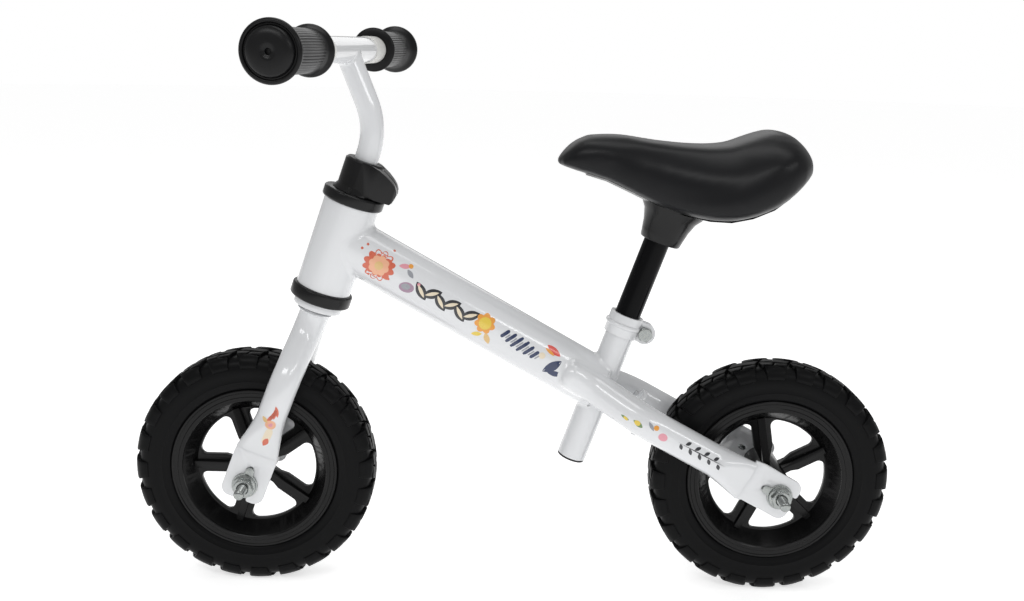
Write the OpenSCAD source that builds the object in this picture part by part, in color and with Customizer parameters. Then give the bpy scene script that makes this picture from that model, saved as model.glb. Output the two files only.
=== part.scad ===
// Child's balance bike: steel frame, curved-leg fork, foam-tyred wheels, clamped bar and saddle.
// X points to the bike's front, Y to its left, Z up. The origin is on the ground, midway between
// the axles. Units are millimetres. A sub-part is shown alone by naming it in "node".

/* [View] */
// Sub-part to show, or all

/* [Wheels] */
// Outside diameter of both tyres
wheel_od = 240; // [180:1:320]
// Distance between the axles
wheelbase = 518; // [420:1:640]
// Tyre width at its widest
tyre_width = 43; // [30:0.5:60]
// Radius of the rim's outer lip
rim_lip_r = 83.2; // [60:0.2:130]
// Width of the rim over its lips
rim_width = 38; // [24:0.5:50]
// Radial depth of the rim's moulded ring at the lips
rim_ring_depth = 11.4; // [8:0.2:20]
// Radius of the outer edge of the windows between the spokes
window_r = 59.2; // [40:0.2:100]
// Corner radius of the windows
window_corner_r = 6; // [2:0.5:12]
// Number of spokes
spoke_count = 5; // [3:1:8]
// Width of a spoke's flat web
spoke_width = 19; // [8:0.5:30]
// Width of the raised rib on each spoke
rib_width = 7; // [3:0.5:12]
// Thickness of the wheel's centre web
web_thickness = 5; // [3:0.5:10]
// Height of a spoke's rib above the middle of the web, at the hub
rib_height = 11; // [5:0.5:16]
// Outer radius of the hub barrel
hub_r = 17; // [14:0.5:26]
// Length of the hub barrel
hub_length = 68; // [40:1:90]

/* [Axles] */
// Axle diameter
axle_d = 10; // [8:1:14]
// Axle length, end to end
axle_length = 174; // [140:1:220]
// Distance from the middle plane to the middle of each dropout plate
dropout_y = 57; // [45:0.5:75]
// Thickness of the dropout plates
dropout_thickness = 4; // [3:0.5:6]
// Width of a dropout plate
dropout_width = 42; // [30:0.5:56]
// Length of the plate from the axle to the tube it grows from
dropout_reach = 36; // [26:0.5:50]
// Length of the plate past the axle
dropout_tail = 16; // [12:0.5:24]
// Clearance each side of the axle in its slot
slot_clearance = 0.5; // [0.2:0.1:1.5]
// Distance from the axle to the locating hole of the tab washer
tab_hole_distance = 15; // [12:0.5:22]
// Diameter of the locating hole
tab_hole_d = 5; // [3:0.5:7]
// Outside diameter of the ball bearings
bearing_od = 26; // [20:1:32]
// Width of the ball bearings
bearing_width = 8; // [5:0.5:12]
// Outside diameter of the spacers between the bearings and the dropouts
spacer_od = 15; // [12:0.5:22]
// Thickness of the tab washers
washer_thickness = 2; // [1:0.1:3]
// Axle nut, across flats
nut_flats = 17; // [13:0.5:24]
// Axle nut, overall thickness
nut_thickness = 9; // [6:0.5:14]

/* [Head and fork] */
// Head angle from the ground
head_angle = 71.2; // [66:0.1:76]
// Distance of the front axle ahead of the steering axis
fork_offset = 6; // [0:0.5:30]
// Gap between the top of the tyre and the underside of the crown, along the steering axis
crown_gap = 55; // [40:1:90]
// Thickness of the crown plate
crown_thickness = 9; // [5:0.5:14]
// Diameter of the crown plate
crown_d = 48; // [40:1:60]
// Head tube diameter
head_tube_d = 54; // [44:0.5:64]
// Head tube length
head_tube_length = 89; // [70:1:140]
// Head tube wall
head_tube_wall = 2.5; // [1.5:0.1:4]
// Diameter of the flanges of the headset cups
cup_d = 60; // [50:0.5:72]
// Height of the lower cup's flange
lower_cup_height = 13; // [6:0.5:18]
// Height of the upper cup's flange
upper_cup_height = 11; // [6:0.5:18]
// Depth of the cups' spigots inside the head tube
cup_spigot = 16; // [8:1:30]
// Steerer tube diameter
steerer_d = 28.6; // [25.4:0.1:34]
// Diameter of the fork's leg tubes
leg_d = 28.6; // [22:0.1:34]
// Distance from the middle plane to the centre of each leg's straight part
leg_spread = 47; // [38:0.5:65]
// Distance from the middle plane to the centre of each leg at the crown
leg_top_spread = 8; // [6:0.5:12]
// Bend radius of the legs
leg_bend_r = 48; // [36:1:80]
// Bend angle of the legs
leg_bend_angle = 40; // [25:1:60]
// Wall of the legs and stays
leg_wall = 1.8; // [1.2:0.1:3]
// Length of the flattened part between a leg or stay and its plate
crimp_length = 34; // [20:1:60]

/* [Frame] */
// Main tube diameter
main_tube_d = 52; // [40:0.5:60]
// Main tube wall
main_tube_wall = 1.6; // [1.2:0.1:3]
// Distance of the main tube's axis above the middle of the head tube, along the steering axis
main_join = 7.5; // [-15:0.5:20]
// Distance of the seat tube joint ahead of the rear axle
seat_joint_x = 174; // [150:1:220]
// Height of the seat tube joint above the axles
seat_joint_z = 91; // [60:1:130]
// Seat tube angle from the ground
seat_angle = 71.1; // [66:0.1:76]
// Seat tube diameter
seat_tube_d = 28.6; // [25.4:0.1:36]
// Length of the seat tube below its joint
seat_tube_below = 79; // [50:1:100]
// Length of the seat tube above its joint
seat_tube_above = 76; // [60:1:130]
// Diameter of the rear stays
stay_d = 31.8; // [25.4:0.1:36]
// Distance from the middle plane to the centre of each stay's straight part
stay_spread = 46; // [40:0.5:65]
// Distance from the middle plane to the centre of each stay's front end
stay_front_spread = 18; // [14:0.5:24]
// Length of the stays ahead of the seat tube joint
stay_lead = 33; // [20:1:60]
// Bend radius of the stays
stay_bend_r = 62; // [45:1:100]
// Bend angle of the stays
stay_bend_angle = 28; // [18:1:45]
// Thickness of the bridge plate between the stays
bridge_thickness = 4; // [3:0.5:8]
// Height of the bridge plate
bridge_height = 34; // [20:1:40]
// Distance of the bridge plate behind the seat tube joint, along the stays
bridge_back = 42; // [36:1:60]

/* [Seat] */
// Seat post diameter
seat_post_d = 25.4; // [22.2:0.1:31.6]
// Seat post wall
seat_post_wall = 2; // [1.2:0.1:3]
// Length of the seat post
seat_post_length = 180; // [140:1:260]
// Length of post seen between the clamp and the saddle's socket
post_shown = 80; // [60:1:140]
// Height of the seat clamp
seat_clamp_height = 21; // [14:0.5:30]
// Thickness of the seat clamp's band
seat_clamp_band = 2.6; // [2:0.1:5]
// Length of the saddle
saddle_length = 242; // [200:1:300]
// Width of the saddle
saddle_width = 146; // [110:1:190]
// Height of the saddle's socket under its base
socket_height = 30; // [20:1:50]

/* [Handlebar] */
// Stem tube diameter
stem_d = 23; // [19:0.1:28]
// Stem tube wall
stem_wall = 2; // [1.2:0.1:3]
// Length of stem inside the steerer
stem_insert = 90; // [70:1:120]
// Height of the stem clamp
stem_clamp_height = 32; // [24:1:50]
// Height of the bar above the stem clamp, along the steering axis
bar_height = 91; // [75:1:160]
// Distance of the bar ahead of the steering axis
bar_forward = 51; // [25:1:80]
// Bend angle of the stem
stem_bend_angle = 41; // [20:1:60]
// Bend radius of the stem
stem_bend_r = 70; // [50:1:110]
// Turn of the bar in its clamp, seen from above
bar_turn = -6.9; // [-15:0.1:15]
// Handlebar diameter
bar_d = 25.4; // [22.2:0.1:28]
// Handlebar wall
bar_wall = 1.6; // [1.2:0.1:3]
// Distance from the middle of the bar to each grip's outer flange
grip_reach = 206; // [160:1:260]
// Length of each grip from flange to flange
grip_length = 96; // [80:1:130]
// Radius of the grip's hand part
grip_r = 18.6; // [16:0.1:22]
// Radius of the grip's outer flange
grip_flange_r = 25.2; // [21:0.1:34]
// Radius of the grip's inner flange
grip_inner_r = 22.3; // [19:0.1:30]
// Thickness of the pale sleeves under the grips
sleeve_wall = 0.8; // [0.5:0.1:2]
// Length of sleeve seen inboard of each grip
sleeve_shown = 34; // [4:1:50]

/* [Hidden] */
$fn = 72;
run_fit = 0.05;
gap = 0.3;
e = 0.01;
lap = 0.5;
step = 0.03;
wheel_r = wheel_od / 2;
front_x = wheelbase / 2;
rear_x = -wheelbase / 2;
// steering frame: local z runs up the steering axis, local x points forward
lean = 90 - head_angle;
crown_s = wheel_r + crown_gap;
lower_s = crown_s + crown_thickness + gap;
head_s = lower_s + lower_cup_height;
upper_s = head_s + head_tube_length;
clamp_s = upper_s + upper_cup_height + gap;
steerer_top_s = clamp_s + stem_clamp_height - 4;
bar_s = clamp_s + stem_clamp_height + bar_height;
foot_x = front_x - fork_offset * sin(head_angle);
foot_z = wheel_r - fork_offset * cos(head_angle);
function on_steer(s, n) = [foot_x - s * cos(head_angle) + n * sin(head_angle),
                           foot_z + s * sin(head_angle) + n * cos(head_angle)];
// main tube, from the head to the seat joint
main_a = on_steer((head_s + upper_s) / 2 + main_join, 0);
seat_p = [rear_x + seat_joint_x, wheel_r + seat_joint_z];
main_len = norm(main_a - seat_p);
main_dir = atan2(seat_p[1] - main_a[1], seat_p[0] - main_a[0]);
// stays, from just behind the seat joint to the rear axle
stay_dir = atan2(wheel_r - seat_p[1] - 3, rear_x - seat_p[0]);
stay_axle = norm([rear_x, wheel_r - 3] - seat_p);
stay_side = stay_spread - stay_front_spread;
stay_mid = max(0, (stay_side - 2 * stay_bend_r * (1 - cos(stay_bend_angle))) / sin(stay_bend_angle));
// fork legs, from the crown to the front axle
leg_dir = atan2(wheel_r - on_steer(crown_s, 0)[1], front_x - on_steer(crown_s, 0)[0]);
leg_len = norm([front_x, wheel_r] - on_steer(crown_s, 0));
leg_side = leg_spread - leg_top_spread;
leg_mid = max(0, (leg_side - 2 * leg_bend_r * (1 - cos(leg_bend_angle))) / sin(leg_bend_angle));
bearing_y = hub_length / 2;
spacer_y = dropout_y - dropout_thickness / 2;
plate_out_y = dropout_y + dropout_thickness / 2;
nut_y = plate_out_y + washer_thickness;
axle_r = axle_d / 2;
axle_core_d = axle_d - 1.1;
// seat: local z runs up the seat tube
seat_top = seat_tube_above;
seat_clamp_z = seat_top - seat_clamp_height + 1.5;
seat_clamp_r = seat_tube_d / 2 + seat_clamp_band;
seat_ear_x = -(seat_clamp_r + 5.5);
seat_ear_r = 10.5;
seat_bolt_d = 8;
socket_z = seat_top + post_shown;
post_top = socket_z + socket_height - 6;
seat_lean = 90 - seat_angle;
function on_seat(z, n) = [seat_p[0] - z * cos(seat_angle) + n * sin(seat_angle),
                          seat_p[1] + z * sin(seat_angle) + n * cos(seat_angle)];
// saddle stations: place along the length, half width, top, underside (shares of the saddle)
saddle_o = on_seat(socket_z + socket_height, 0);
saddle_front = saddle_o[0] + 0.46 * saddle_length;
saddle_z = saddle_o[1];
stations = [[0.012, 0.10, 54, 44], [0.07, 0.20, 67.5, 40], [0.20, 0.25, 71.5, 31], [0.40, 0.31, 64.5, 9],
            [0.60, 0.42, 62, -4], [0.76, 0.49, 71.5, 0], [0.90, 0.45, 78.5, 19], [0.988, 0.25, 58, 42]];
// stem
stem_rise = stem_bend_r * sin(stem_bend_angle);
stem_over = stem_bend_r * (1 - cos(stem_bend_angle));
stem_tip = (bar_forward - stem_over) / sin(stem_bend_angle);
bar_slide = -bar_forward * tan(bar_turn);
stem_bend_s = bar_s - stem_rise - stem_tip * cos(stem_bend_angle);
stem_bottom_s = steerer_top_s - stem_insert;
ear_x = -26;
stem_bolt_d = 6;
bar_half = grip_reach - 3;
grip_inner_y = grip_reach - grip_length - 3;

// ---- places ----
module steer() { translate([foot_x, 0, foot_z]) rotate([0, -lean, 0]) children(); }
module aim(p, dir) { translate([p[0], 0, p[1]]) rotate([0, 90 - dir, 0]) children(); }
module seat_line() { aim(seat_p, 180 - seat_angle) children(); }
module turned_bar() { steer() rotate([0, 0, bar_turn]) children(); }
module across() { rotate([-90, 0, 0]) children(); }
module right_side() { mirror([0, 1, 0]) children(); }
module at_axle(x) { translate([x, 0, wheel_r]) children(); }

// ---- pipes bent in the plane of local y and z ----
module bend(r, a, t) {
  rotate([90, 0, -90]) translate([-r, 0, 0]) rotate_extrude(angle = a) translate([r, 0]) circle(r = t);
}
module after_bend(r, a) { translate([0, r * (1 - cos(a)), r * sin(a)]) rotate([-a, 0, 0]) children(); }
module bend_back(r, a, t) { mirror([0, 1, 0]) bend(r, a, t); }
module after_back(r, a) { translate([0, -r * (1 - cos(a)), r * sin(a)]) rotate([a, 0, 0]) children(); }

// straight lead, bend out, straight, bend back, straight to the stated depth; the bends are a
// hair thinner than the straights that run into them
module dogleg(lead, r, a, mid, t, depth) {
  used = lead + 2 * r * sin(a) + mid * cos(a);
  cylinder(r = t, h = lead + lap);
  translate([0, 0, lead]) {
    bend(r, a, t - step);
    after_bend(r, a) {
      translate([0, 0, -lap]) cylinder(r = t, h = mid + 2 * lap);
      translate([0, 0, mid]) {
        bend_back(r, a, t - step);
        after_back(r, a) translate([0, 0, -lap]) cylinder(r = t, h = depth - used + 2 * lap);
      }
    }
  }
}

// flattened end: the round tube squeezed flat where it meets its plate
module crimp(t, shift, flat) {
  intersection() {
    cylinder(r = t - step, h = crimp_length + 2);
    translate([-50, 0, 0]) rotate([90, 0, 90]) linear_extrude(100)
      polygon([[-t - 1, 0], [t + 1, 0], [shift + flat / 2, crimp_length],
               [shift + flat / 2, crimp_length + 1], [shift - flat / 2, crimp_length + 1],
               [shift - flat / 2, crimp_length]]);
  }
}
module plate_outline() {
  w = dropout_width / 2;
  r = 9;
  difference() {
    union() {
      translate([-w, -dropout_reach]) square([2 * w, dropout_reach + dropout_tail - r]);
      polygon([[-w, -dropout_reach], [w, -dropout_reach], [w - 9, -dropout_reach - crimp_length + 6],
               [9 - w, -dropout_reach - crimp_length + 6]]);
      translate([-w + r, -10]) square([2 * w - 2 * r, dropout_tail + 10]);
      for (s = [-1, 1]) translate([s * (w - r), dropout_tail - r]) circle(r = r);
    }
    circle(r = axle_r + slot_clearance);
    translate([-axle_r - slot_clearance, 0])
      square([axle_d + 2 * slot_clearance, dropout_tail + 5]);
    translate([0, -tab_hole_distance]) circle(d = tab_hole_d);
  }
}
// local z runs along the tube to the axle at z = 0; local y is outward
module dropout_plate() {
  translate([0, dropout_y + dropout_thickness / 2, 0]) rotate([90, 0, 0])
    linear_extrude(dropout_thickness) plate_outline();
}

// ---- frame ----
module main_solid(r) { aim(main_a, main_dir) cylinder(r = r, h = main_len); }
module head_solid(r) { steer() translate([0, 0, head_s]) cylinder(r = r, h = head_tube_length); }
module head_tube() color("White") difference() {
  head_solid(head_tube_d / 2);
  steer() translate([0, 0, head_s - 1]) cylinder(r = head_tube_d / 2 - head_tube_wall, h = head_tube_length + 2);
}
module main_tube() color("White") difference() {
  main_solid(main_tube_d / 2);
  aim(main_a, main_dir) translate([0, 0, -1]) cylinder(r = main_tube_d / 2 - main_tube_wall, h = main_len + 2);
  head_solid(head_tube_d / 2);
  seat_solid(seat_tube_d / 2);
}
module seat_solid(r) { seat_line() translate([0, 0, -seat_tube_below]) cylinder(r = r, h = seat_tube_below + seat_tube_above); }
module seat_tube() color("White") difference() {
  seat_solid(seat_tube_d / 2);
  seat_line() translate([0, 0, -seat_tube_below - 1])
    cylinder(r = seat_post_d / 2 + run_fit, h = seat_tube_below + seat_tube_above + 2);
  seat_line() translate([-seat_tube_d, -1, seat_top - 34]) cube([seat_tube_d, 2, 40]);
}
module stay_path(t, cut) {
  aim(seat_p, stay_dir) translate([0, stay_front_spread, -stay_lead]) {
    if (cut == 0) {
      translate([0, 0, -5]) cylinder(r1 = t - 2.5, r2 = t, h = 5);
      translate([0, 0, -9]) cylinder(r1 = t - 9, r2 = t - 2.5, h = 4);
    }
    dogleg(8, stay_bend_r, stay_bend_angle, stay_mid, t, stay_lead + stay_axle - dropout_reach - crimp_length);
    translate([0, stay_side, stay_lead + stay_axle - dropout_reach - crimp_length])
      crimp(t, dropout_y - stay_spread, cut == 0 ? dropout_thickness : 0.2);
  }
}
module left_stay() color("White") difference() {
  union() {
    stay_path(stay_d / 2, 0);
    aim([rear_x, wheel_r], stay_dir) dropout_plate();
  }
  difference() {
    stay_path(stay_d / 2 - leg_wall, leg_wall);
    aim([rear_x, wheel_r], stay_dir) translate([-40, 0, -dropout_reach - 12]) cube([80, 90, 60]);
  }
  main_solid(main_tube_d / 2);
  seat_solid(seat_tube_d / 2);
}
module right_stay() { right_side() left_stay(); }
module stay_bridge() color("White") difference() {
  aim(seat_p, stay_dir) translate([0, 0, bridge_back]) difference() {
    union() {
      translate([-bridge_height / 2, -stay_spread, 0]) cube([bridge_height - 10, 2 * stay_spread, bridge_thickness]);
      translate([bridge_height / 2 - 12, 0, 0]) intersection() {
        cylinder(r = 12, h = bridge_thickness);
        translate([-2, -12, -1]) cube([20, 24, bridge_thickness + 2]);
      }
    }
    for (s = [-1, 1]) translate([2, s * 5, -1]) cylinder(d = 4.4, h = bridge_thickness + 2);
    translate([-0.2, -5, -1]) cube([4.4, 10, bridge_thickness + 2]);
  }
  for (s = [0, 1]) mirror([0, s, 0]) stay_path(stay_d / 2, 0);
}
module cup(h, up) {
  difference() {
    union() {
      cylinder(d = cup_d - 3, h = h);
      translate([0, 0, 1.5]) cylinder(d = cup_d, h = h - 3);
      for (z = [0, h - 1.5]) translate([0, 0, z])
        cylinder(d1 = z == 0 ? cup_d - 3 : cup_d, d2 = z == 0 ? cup_d : cup_d - 3, h = 1.5);
      translate([0, 0, up ? -cup_spigot : h - e]) cylinder(r = head_tube_d / 2 - head_tube_wall, h = cup_spigot + e);
    }
    translate([0, 0, -50]) cylinder(r = steerer_d / 2 + run_fit, h = 120);
  }
}
module upper_headset_cup() color("#1a1a1c") steer() translate([0, 0, upper_s]) cup(upper_cup_height, true);
module lower_headset_cup() color("#1a1a1c") steer() translate([0, 0, lower_s]) cup(lower_cup_height, false);
module seat_clamp() color("White") seat_line() difference() {
  union() {
    translate([0, 0, seat_clamp_z]) cylinder(r = seat_clamp_r, h = seat_clamp_height);
    translate([0, 0, seat_clamp_z + seat_clamp_height / 2])
      rotate_extrude() translate([seat_clamp_r - 0.8, 0]) circle(r = 2.6);
    for (s = [-1, 1]) translate([seat_ear_x, s > 0 ? 2 : -5, seat_clamp_z + seat_clamp_height / 2 - 1.5]) across() {
      cylinder(r = seat_ear_r, h = 3);
      translate([0, -seat_ear_r, 0]) cube([seat_clamp_r - 4, 2 * seat_ear_r - 1, 3]);
    }
  }
  translate([0, 0, seat_clamp_z - 1]) cylinder(r = seat_tube_d / 2, h = seat_clamp_height - 0.5);
  translate([0, 0, seat_clamp_z - 1]) cylinder(r = seat_post_d / 2 + 0.4, h = seat_clamp_height + 5);
  translate([seat_ear_x - 20, -2, seat_clamp_z - 5]) cube([-seat_ear_x + 10, 4, seat_clamp_height + 10]);
  translate([seat_ear_x, -20, seat_clamp_z + seat_clamp_height / 2 - 1.5]) across() {
    cylinder(d = seat_bolt_d, h = 40);
    for (z = [0, 25]) translate([0, 0, z]) cylinder(d = 16, h = 15);
  }
}
module seat_bolt_place() { seat_line() translate([seat_ear_x, 0, seat_clamp_z + seat_clamp_height / 2 - 1.5]) across() children(); }
module seat_clamp_bolt() color("Silver") seat_bolt_place() {
  translate([0, 0, -15]) cylinder(d = seat_bolt_d, h = 20);
  translate([0, 0, 5]) cylinder(d = 15, h = 5.5, $fn = 6);
}
module seat_clamp_nut() color("Silver") seat_bolt_place() translate([0, 0, -11.5]) difference() {
  cylinder(d = 15, h = 6.5, $fn = 6);
  translate([0, 0, -1]) cylinder(d = seat_bolt_d, h = 9);
}
module seat_tube_plug() color("#1a1a1c") seat_line() translate([0, 0, -seat_tube_below]) {
  translate([0, 0, -2]) cylinder(d = seat_tube_d - 0.6, h = 2);
  cylinder(r = seat_post_d / 2 + run_fit, h = 10);
}

// ---- axle hardware ----
// the thread inside each nut is drawn at its core diameter, so the bare ends stand alone as pins
module axle(x) color("Silver") at_axle(x) across() {
  translate([0, 0, -nut_y]) cylinder(d = axle_d, h = 2 * nut_y);
  for (s = [0, 180]) rotate([s, 0, 0]) {
    translate([0, 0, nut_y - lap]) cylinder(d = axle_core_d, h = nut_thickness + gap + 2 * lap);
    translate([0, 0, nut_y + nut_thickness + gap])
      cylinder(d = axle_d, h = axle_length / 2 - 1.5 - nut_y - nut_thickness - gap);
    translate([0, 0, axle_length / 2 - 1.5]) cylinder(d1 = axle_d, d2 = axle_d - 3, h = 1.5);
  }
}
module axle_nut(x) color("Silver") at_axle(x) translate([0, nut_y, 0]) across() difference() {
  union() {
    cylinder(d = nut_flats + 6, h = 2);
    translate([0, 0, 2]) cylinder(d1 = nut_flats + 6, d2 = nut_flats, h = 1.2);
    cylinder(d = nut_flats / cos(30), h = nut_thickness, $fn = 6);
  }
  translate([0, 0, -1]) cylinder(d = axle_core_d, h = nut_thickness + 2);
}
// dir: direction from the axle to the locating hole, from +X towards +Z
module tab_washer(x, dir) color("Silver") at_axle(x) rotate([0, 90 - dir, 0]) difference() {
  union() {
    translate([0, plate_out_y, 0]) across() cylinder(d = nut_flats + 8, h = washer_thickness);
    translate([0, plate_out_y, tab_hole_distance]) across() cylinder(d = tab_hole_d + 3.6, h = washer_thickness);
    translate([-tab_hole_d / 2 - 1.8, plate_out_y, 0]) cube([tab_hole_d + 3.6, washer_thickness, tab_hole_distance]);
    translate([0, plate_out_y - dropout_thickness + 1, tab_hole_distance]) across() cylinder(d = tab_hole_d - 0.6, h = dropout_thickness);
  }
  translate([0, plate_out_y - 1, 0]) across() cylinder(d = axle_d, h = washer_thickness + 2);
}
module spacer(x) color("Silver") at_axle(x) translate([0, bearing_y, 0]) across() difference() {
  cylinder(d = spacer_od, h = spacer_y - bearing_y);
  translate([0, 0, -1]) cylinder(d = axle_d, h = spacer_y - bearing_y + 2);
}
module rear_axle() { axle(rear_x); }
module rear_left_nut() { axle_nut(rear_x); }
module rear_right_nut() { right_side() axle_nut(rear_x); }
module rear_left_tab_washer() { tab_washer(rear_x, stay_dir + 180); }
module rear_right_tab_washer() { right_side() tab_washer(rear_x, stay_dir + 180); }
module rear_left_spacer() { spacer(rear_x); }
module rear_right_spacer() { right_side() spacer(rear_x); }
module front_axle() { axle(front_x); }
module front_left_nut() { axle_nut(front_x); }
module front_right_nut() { right_side() axle_nut(front_x); }
module front_left_tab_washer() { tab_washer(front_x, leg_dir + 180); }
module front_right_tab_washer() { right_side() tab_washer(front_x, leg_dir + 180); }
module front_left_spacer() { spacer(front_x); }
module front_right_spacer() { right_side() spacer(front_x); }

// ---- wheels ----
seat_r = rim_lip_r - 6;
module tyre_profile() {
  w = tyre_width / 2;
  l = rim_width / 2;
  b = wheel_r - rim_lip_r;
  half = [[seat_r, l - 5], [rim_lip_r, l - 2.5], [rim_lip_r + 0.12 * b, l + 0.3], [rim_lip_r + 0.4 * b, w],
          [rim_lip_r + 0.66 * b, w], [rim_lip_r + 0.86 * b, w - 3], [wheel_r - 1.2, w - 6.5], [wheel_r, w - 10]];
  polygon(concat(half, [for (i = [len(half) - 1:-1:0]) [half[i][0], -half[i][1]]]));
}
module rim_profile() {
  l = rim_width / 2;
  b = rim_lip_r - rim_ring_depth;
  polygon([[b, l - 1], [b + 1, l], [rim_lip_r - 1, l], [rim_lip_r, l - 1], [rim_lip_r, l - 2.5], [seat_r, l - 5],
           [seat_r, 5 - l], [rim_lip_r, 2.5 - l], [rim_lip_r, 1 - l], [rim_lip_r - 1, -l], [b + 1, -l], [b, 1 - l],
           [window_r + 1.5, -web_thickness / 2], [window_r + 1.5, web_thickness / 2]]);
}
module window() {
  a = 180 / spoke_count;
  w = spoke_width / 2;
  q = window_corner_r;
  k = asin((w + q) / (window_r - q));
  inner = (hub_r + 4.5) * cos(asin(w / (hub_r + 4.5)));
  c1 = (window_r - q) * [cos(a - k), sin(a - k)];
  n1 = [-sin(a), cos(a)];
  t1 = c1 + q * n1;
  i1 = inner * [cos(a), sin(a)] - w * n1;
  polygon([i1, t1, c1, [c1[0], -c1[1]], [t1[0], -t1[1]], [i1[0], -i1[1]]]);
  translate(c1) circle(r = q);
  translate([c1[0], -c1[1]]) circle(r = q);
  intersection() {
    circle(r = window_r);
    polygon([[0, 0], 2 * window_r * [cos(a - k), sin(a - k)], [2.5 * window_r, 0], 2 * window_r * [cos(a - k), -sin(a - k)]]);
  }
}
// first: angle of the first spoke, from +X towards +Z
module rim(x, first) color("#1c1c1e") at_axle(x) difference() {
  union() {
    across() rotate_extrude($fn = 120) rim_profile();
    across() difference() {
      translate([0, 0, -web_thickness / 2]) cylinder(r = window_r + 2.5, h = web_thickness, $fn = 120);
      for (i = [0:spoke_count - 1]) rotate([0, 0, -first - (i + 0.5) * 360 / spoke_count])
        translate([0, 0, -web_thickness]) linear_extrude(2 * web_thickness) window();
    }
    across() translate([0, 0, -hub_length / 2]) cylinder(r = hub_r, h = hub_length);
    across() for (i = [0:spoke_count - 1]) rotate([0, 0, -first - i * 360 / spoke_count])
      rotate([90, 0, 0]) translate([0, 0, -rib_width / 2]) linear_extrude(rib_width)
        polygon([[hub_r - 2, -rib_height], [window_r + 3.5, -rib_height + 3], [window_r + 3.5, rib_height - 3],
                 [hub_r - 2, rib_height]]);
  }
  across() translate([0, 0, -hub_length]) cylinder(r = axle_r + 1.5, h = 2 * hub_length);
  for (s = [-1, 1]) translate([0, s > 0 ? bearing_y - bearing_width : -bearing_y - 1, 0]) across()
    cylinder(d = bearing_od, h = bearing_width + 1);
}
module bearing(x) color("Silver") at_axle(x) translate([0, bearing_y - bearing_width, 0]) across() difference() {
  cylinder(d = bearing_od, h = bearing_width);
  translate([0, 0, -1]) cylinder(r = axle_r + run_fit, h = bearing_width + 2);
  translate([0, 0, bearing_width - 0.8]) difference() {
    cylinder(d = bearing_od - 5, h = 2);
    translate([0, 0, -1]) cylinder(d = axle_d + 5, h = 4);
  }
}
module tyre(x) color("#161617") at_axle(x) across() rotate_extrude($fn = 144) tyre_profile();
module rear_tyre() { tyre(rear_x); }
module front_tyre() { tyre(front_x); }
module rear_rim() { rim(rear_x, 80); }
module front_rim() { rim(front_x, 0); }
module rear_left_bearing() { bearing(rear_x); }
module rear_right_bearing() { right_side() bearing(rear_x); }
module front_left_bearing() { bearing(front_x); }
module front_right_bearing() { right_side() bearing(front_x); }

// ---- fork ----
module steerer_tube() color("White") steer() difference() {
  translate([0, 0, crown_s]) cylinder(d = steerer_d, h = steerer_top_s - crown_s);
  translate([0, 0, crown_s - 1]) cylinder(r = stem_d / 2 + run_fit, h = steerer_top_s - crown_s + 2);
  translate([-steerer_d, -1.2, steerer_top_s - 34]) cube([steerer_d, 2.4, 40]);
}
module fork_crown() color("White") steer() translate([0, 0, crown_s]) difference() {
  union() {
    translate([0, 0, 2]) cylinder(d = crown_d, h = crown_thickness - 2);
    cylinder(d1 = crown_d - 8, d2 = crown_d, h = 2);
  }
  translate([0, 0, -1]) cylinder(d = steerer_d, h = crown_thickness + 2);
}
module leg_path(t, cut) {
  depth = leg_len - dropout_reach - crimp_length;
  translate([0, leg_top_spread, 0]) {
    dogleg(4, leg_bend_r, leg_bend_angle, leg_mid, t, depth);
    translate([0, leg_side, depth]) crimp(t, dropout_y - leg_spread, cut == 0 ? dropout_thickness : 0.2);
  }
}
module fork_right_leg() color("White") right_side() fork_leg();
module fork_left_leg() color("White") fork_leg();
module fork_leg() difference() {
  union() {
    aim(on_steer(crown_s, 0), leg_dir) leg_path(leg_d / 2, 0);
    aim([front_x, wheel_r], leg_dir) dropout_plate();
  }
  difference() {
    aim(on_steer(crown_s, 0), leg_dir) leg_path(leg_d / 2 - leg_wall, leg_wall);
    aim([front_x, wheel_r], leg_dir) translate([-40, 0, -dropout_reach - 12]) cube([80, 90, 60]);
  }
  steer() translate([-100, -100, crown_s]) cube([200, 200, 50]);
  translate([-500, -100, 0]) cube([2000, 100, 1000]);
}

// ---- stem clamp ----
module stem_clamp() color("#1a1a1c") steer() translate([0, 0, clamp_s]) difference() {
  r = steerer_d / 2 + 5;
  union() {
    cylinder(r = r, h = stem_clamp_height - 2);
    translate([0, 0, stem_clamp_height - 2]) cylinder(r1 = r, r2 = r - 2, h = 2);
    cylinder(r1 = r + 3.5, r2 = r, h = 5);
    intersection() {
      linear_extrude(stem_clamp_height) union() {
        polygon([[0, -r], [-15, -r], [-29, -15.5], [-36, -13], [-38.5, -9], [-38.5, 9], [-36, 13], [-29, 15.5],
                 [-15, r], [0, r]]);
      }
      rotate([90, 0, 0]) translate([0, 0, -40]) linear_extrude(80)
        polygon([[2, 0.5], [-35, 0.5], [-37, 3], [-38.5, stem_clamp_height * 0.35], [-37.5, stem_clamp_height * 0.48],
                 [-34.5, stem_clamp_height * 0.6], [-30, stem_clamp_height * 0.71], [-24, stem_clamp_height * 0.82],
                 [-17, stem_clamp_height * 0.92], [-9, stem_clamp_height * 0.98], [2, stem_clamp_height]]);
    }
  }
  translate([0, 0, -1]) cylinder(r = steerer_d / 2 + run_fit, h = stem_clamp_height - 3 + gap);
  translate([0, 0, -1]) cylinder(r = stem_d / 2 + 0.4, h = stem_clamp_height + 3);
  translate([-40, -1.6, -1]) cube([40, 3.2, stem_clamp_height + 3]);
  translate([ear_x, 0, stem_clamp_height / 2 - 3]) across() {
    translate([0, 0, -30]) cylinder(d = stem_bolt_d, h = 39.5);
    translate([0, 0, -30]) cylinder(d = 12, h = 20.5);
    translate([0, 0, 3]) cylinder(d = 11.5, h = 5, $fn = 6);
  }
}
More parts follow.
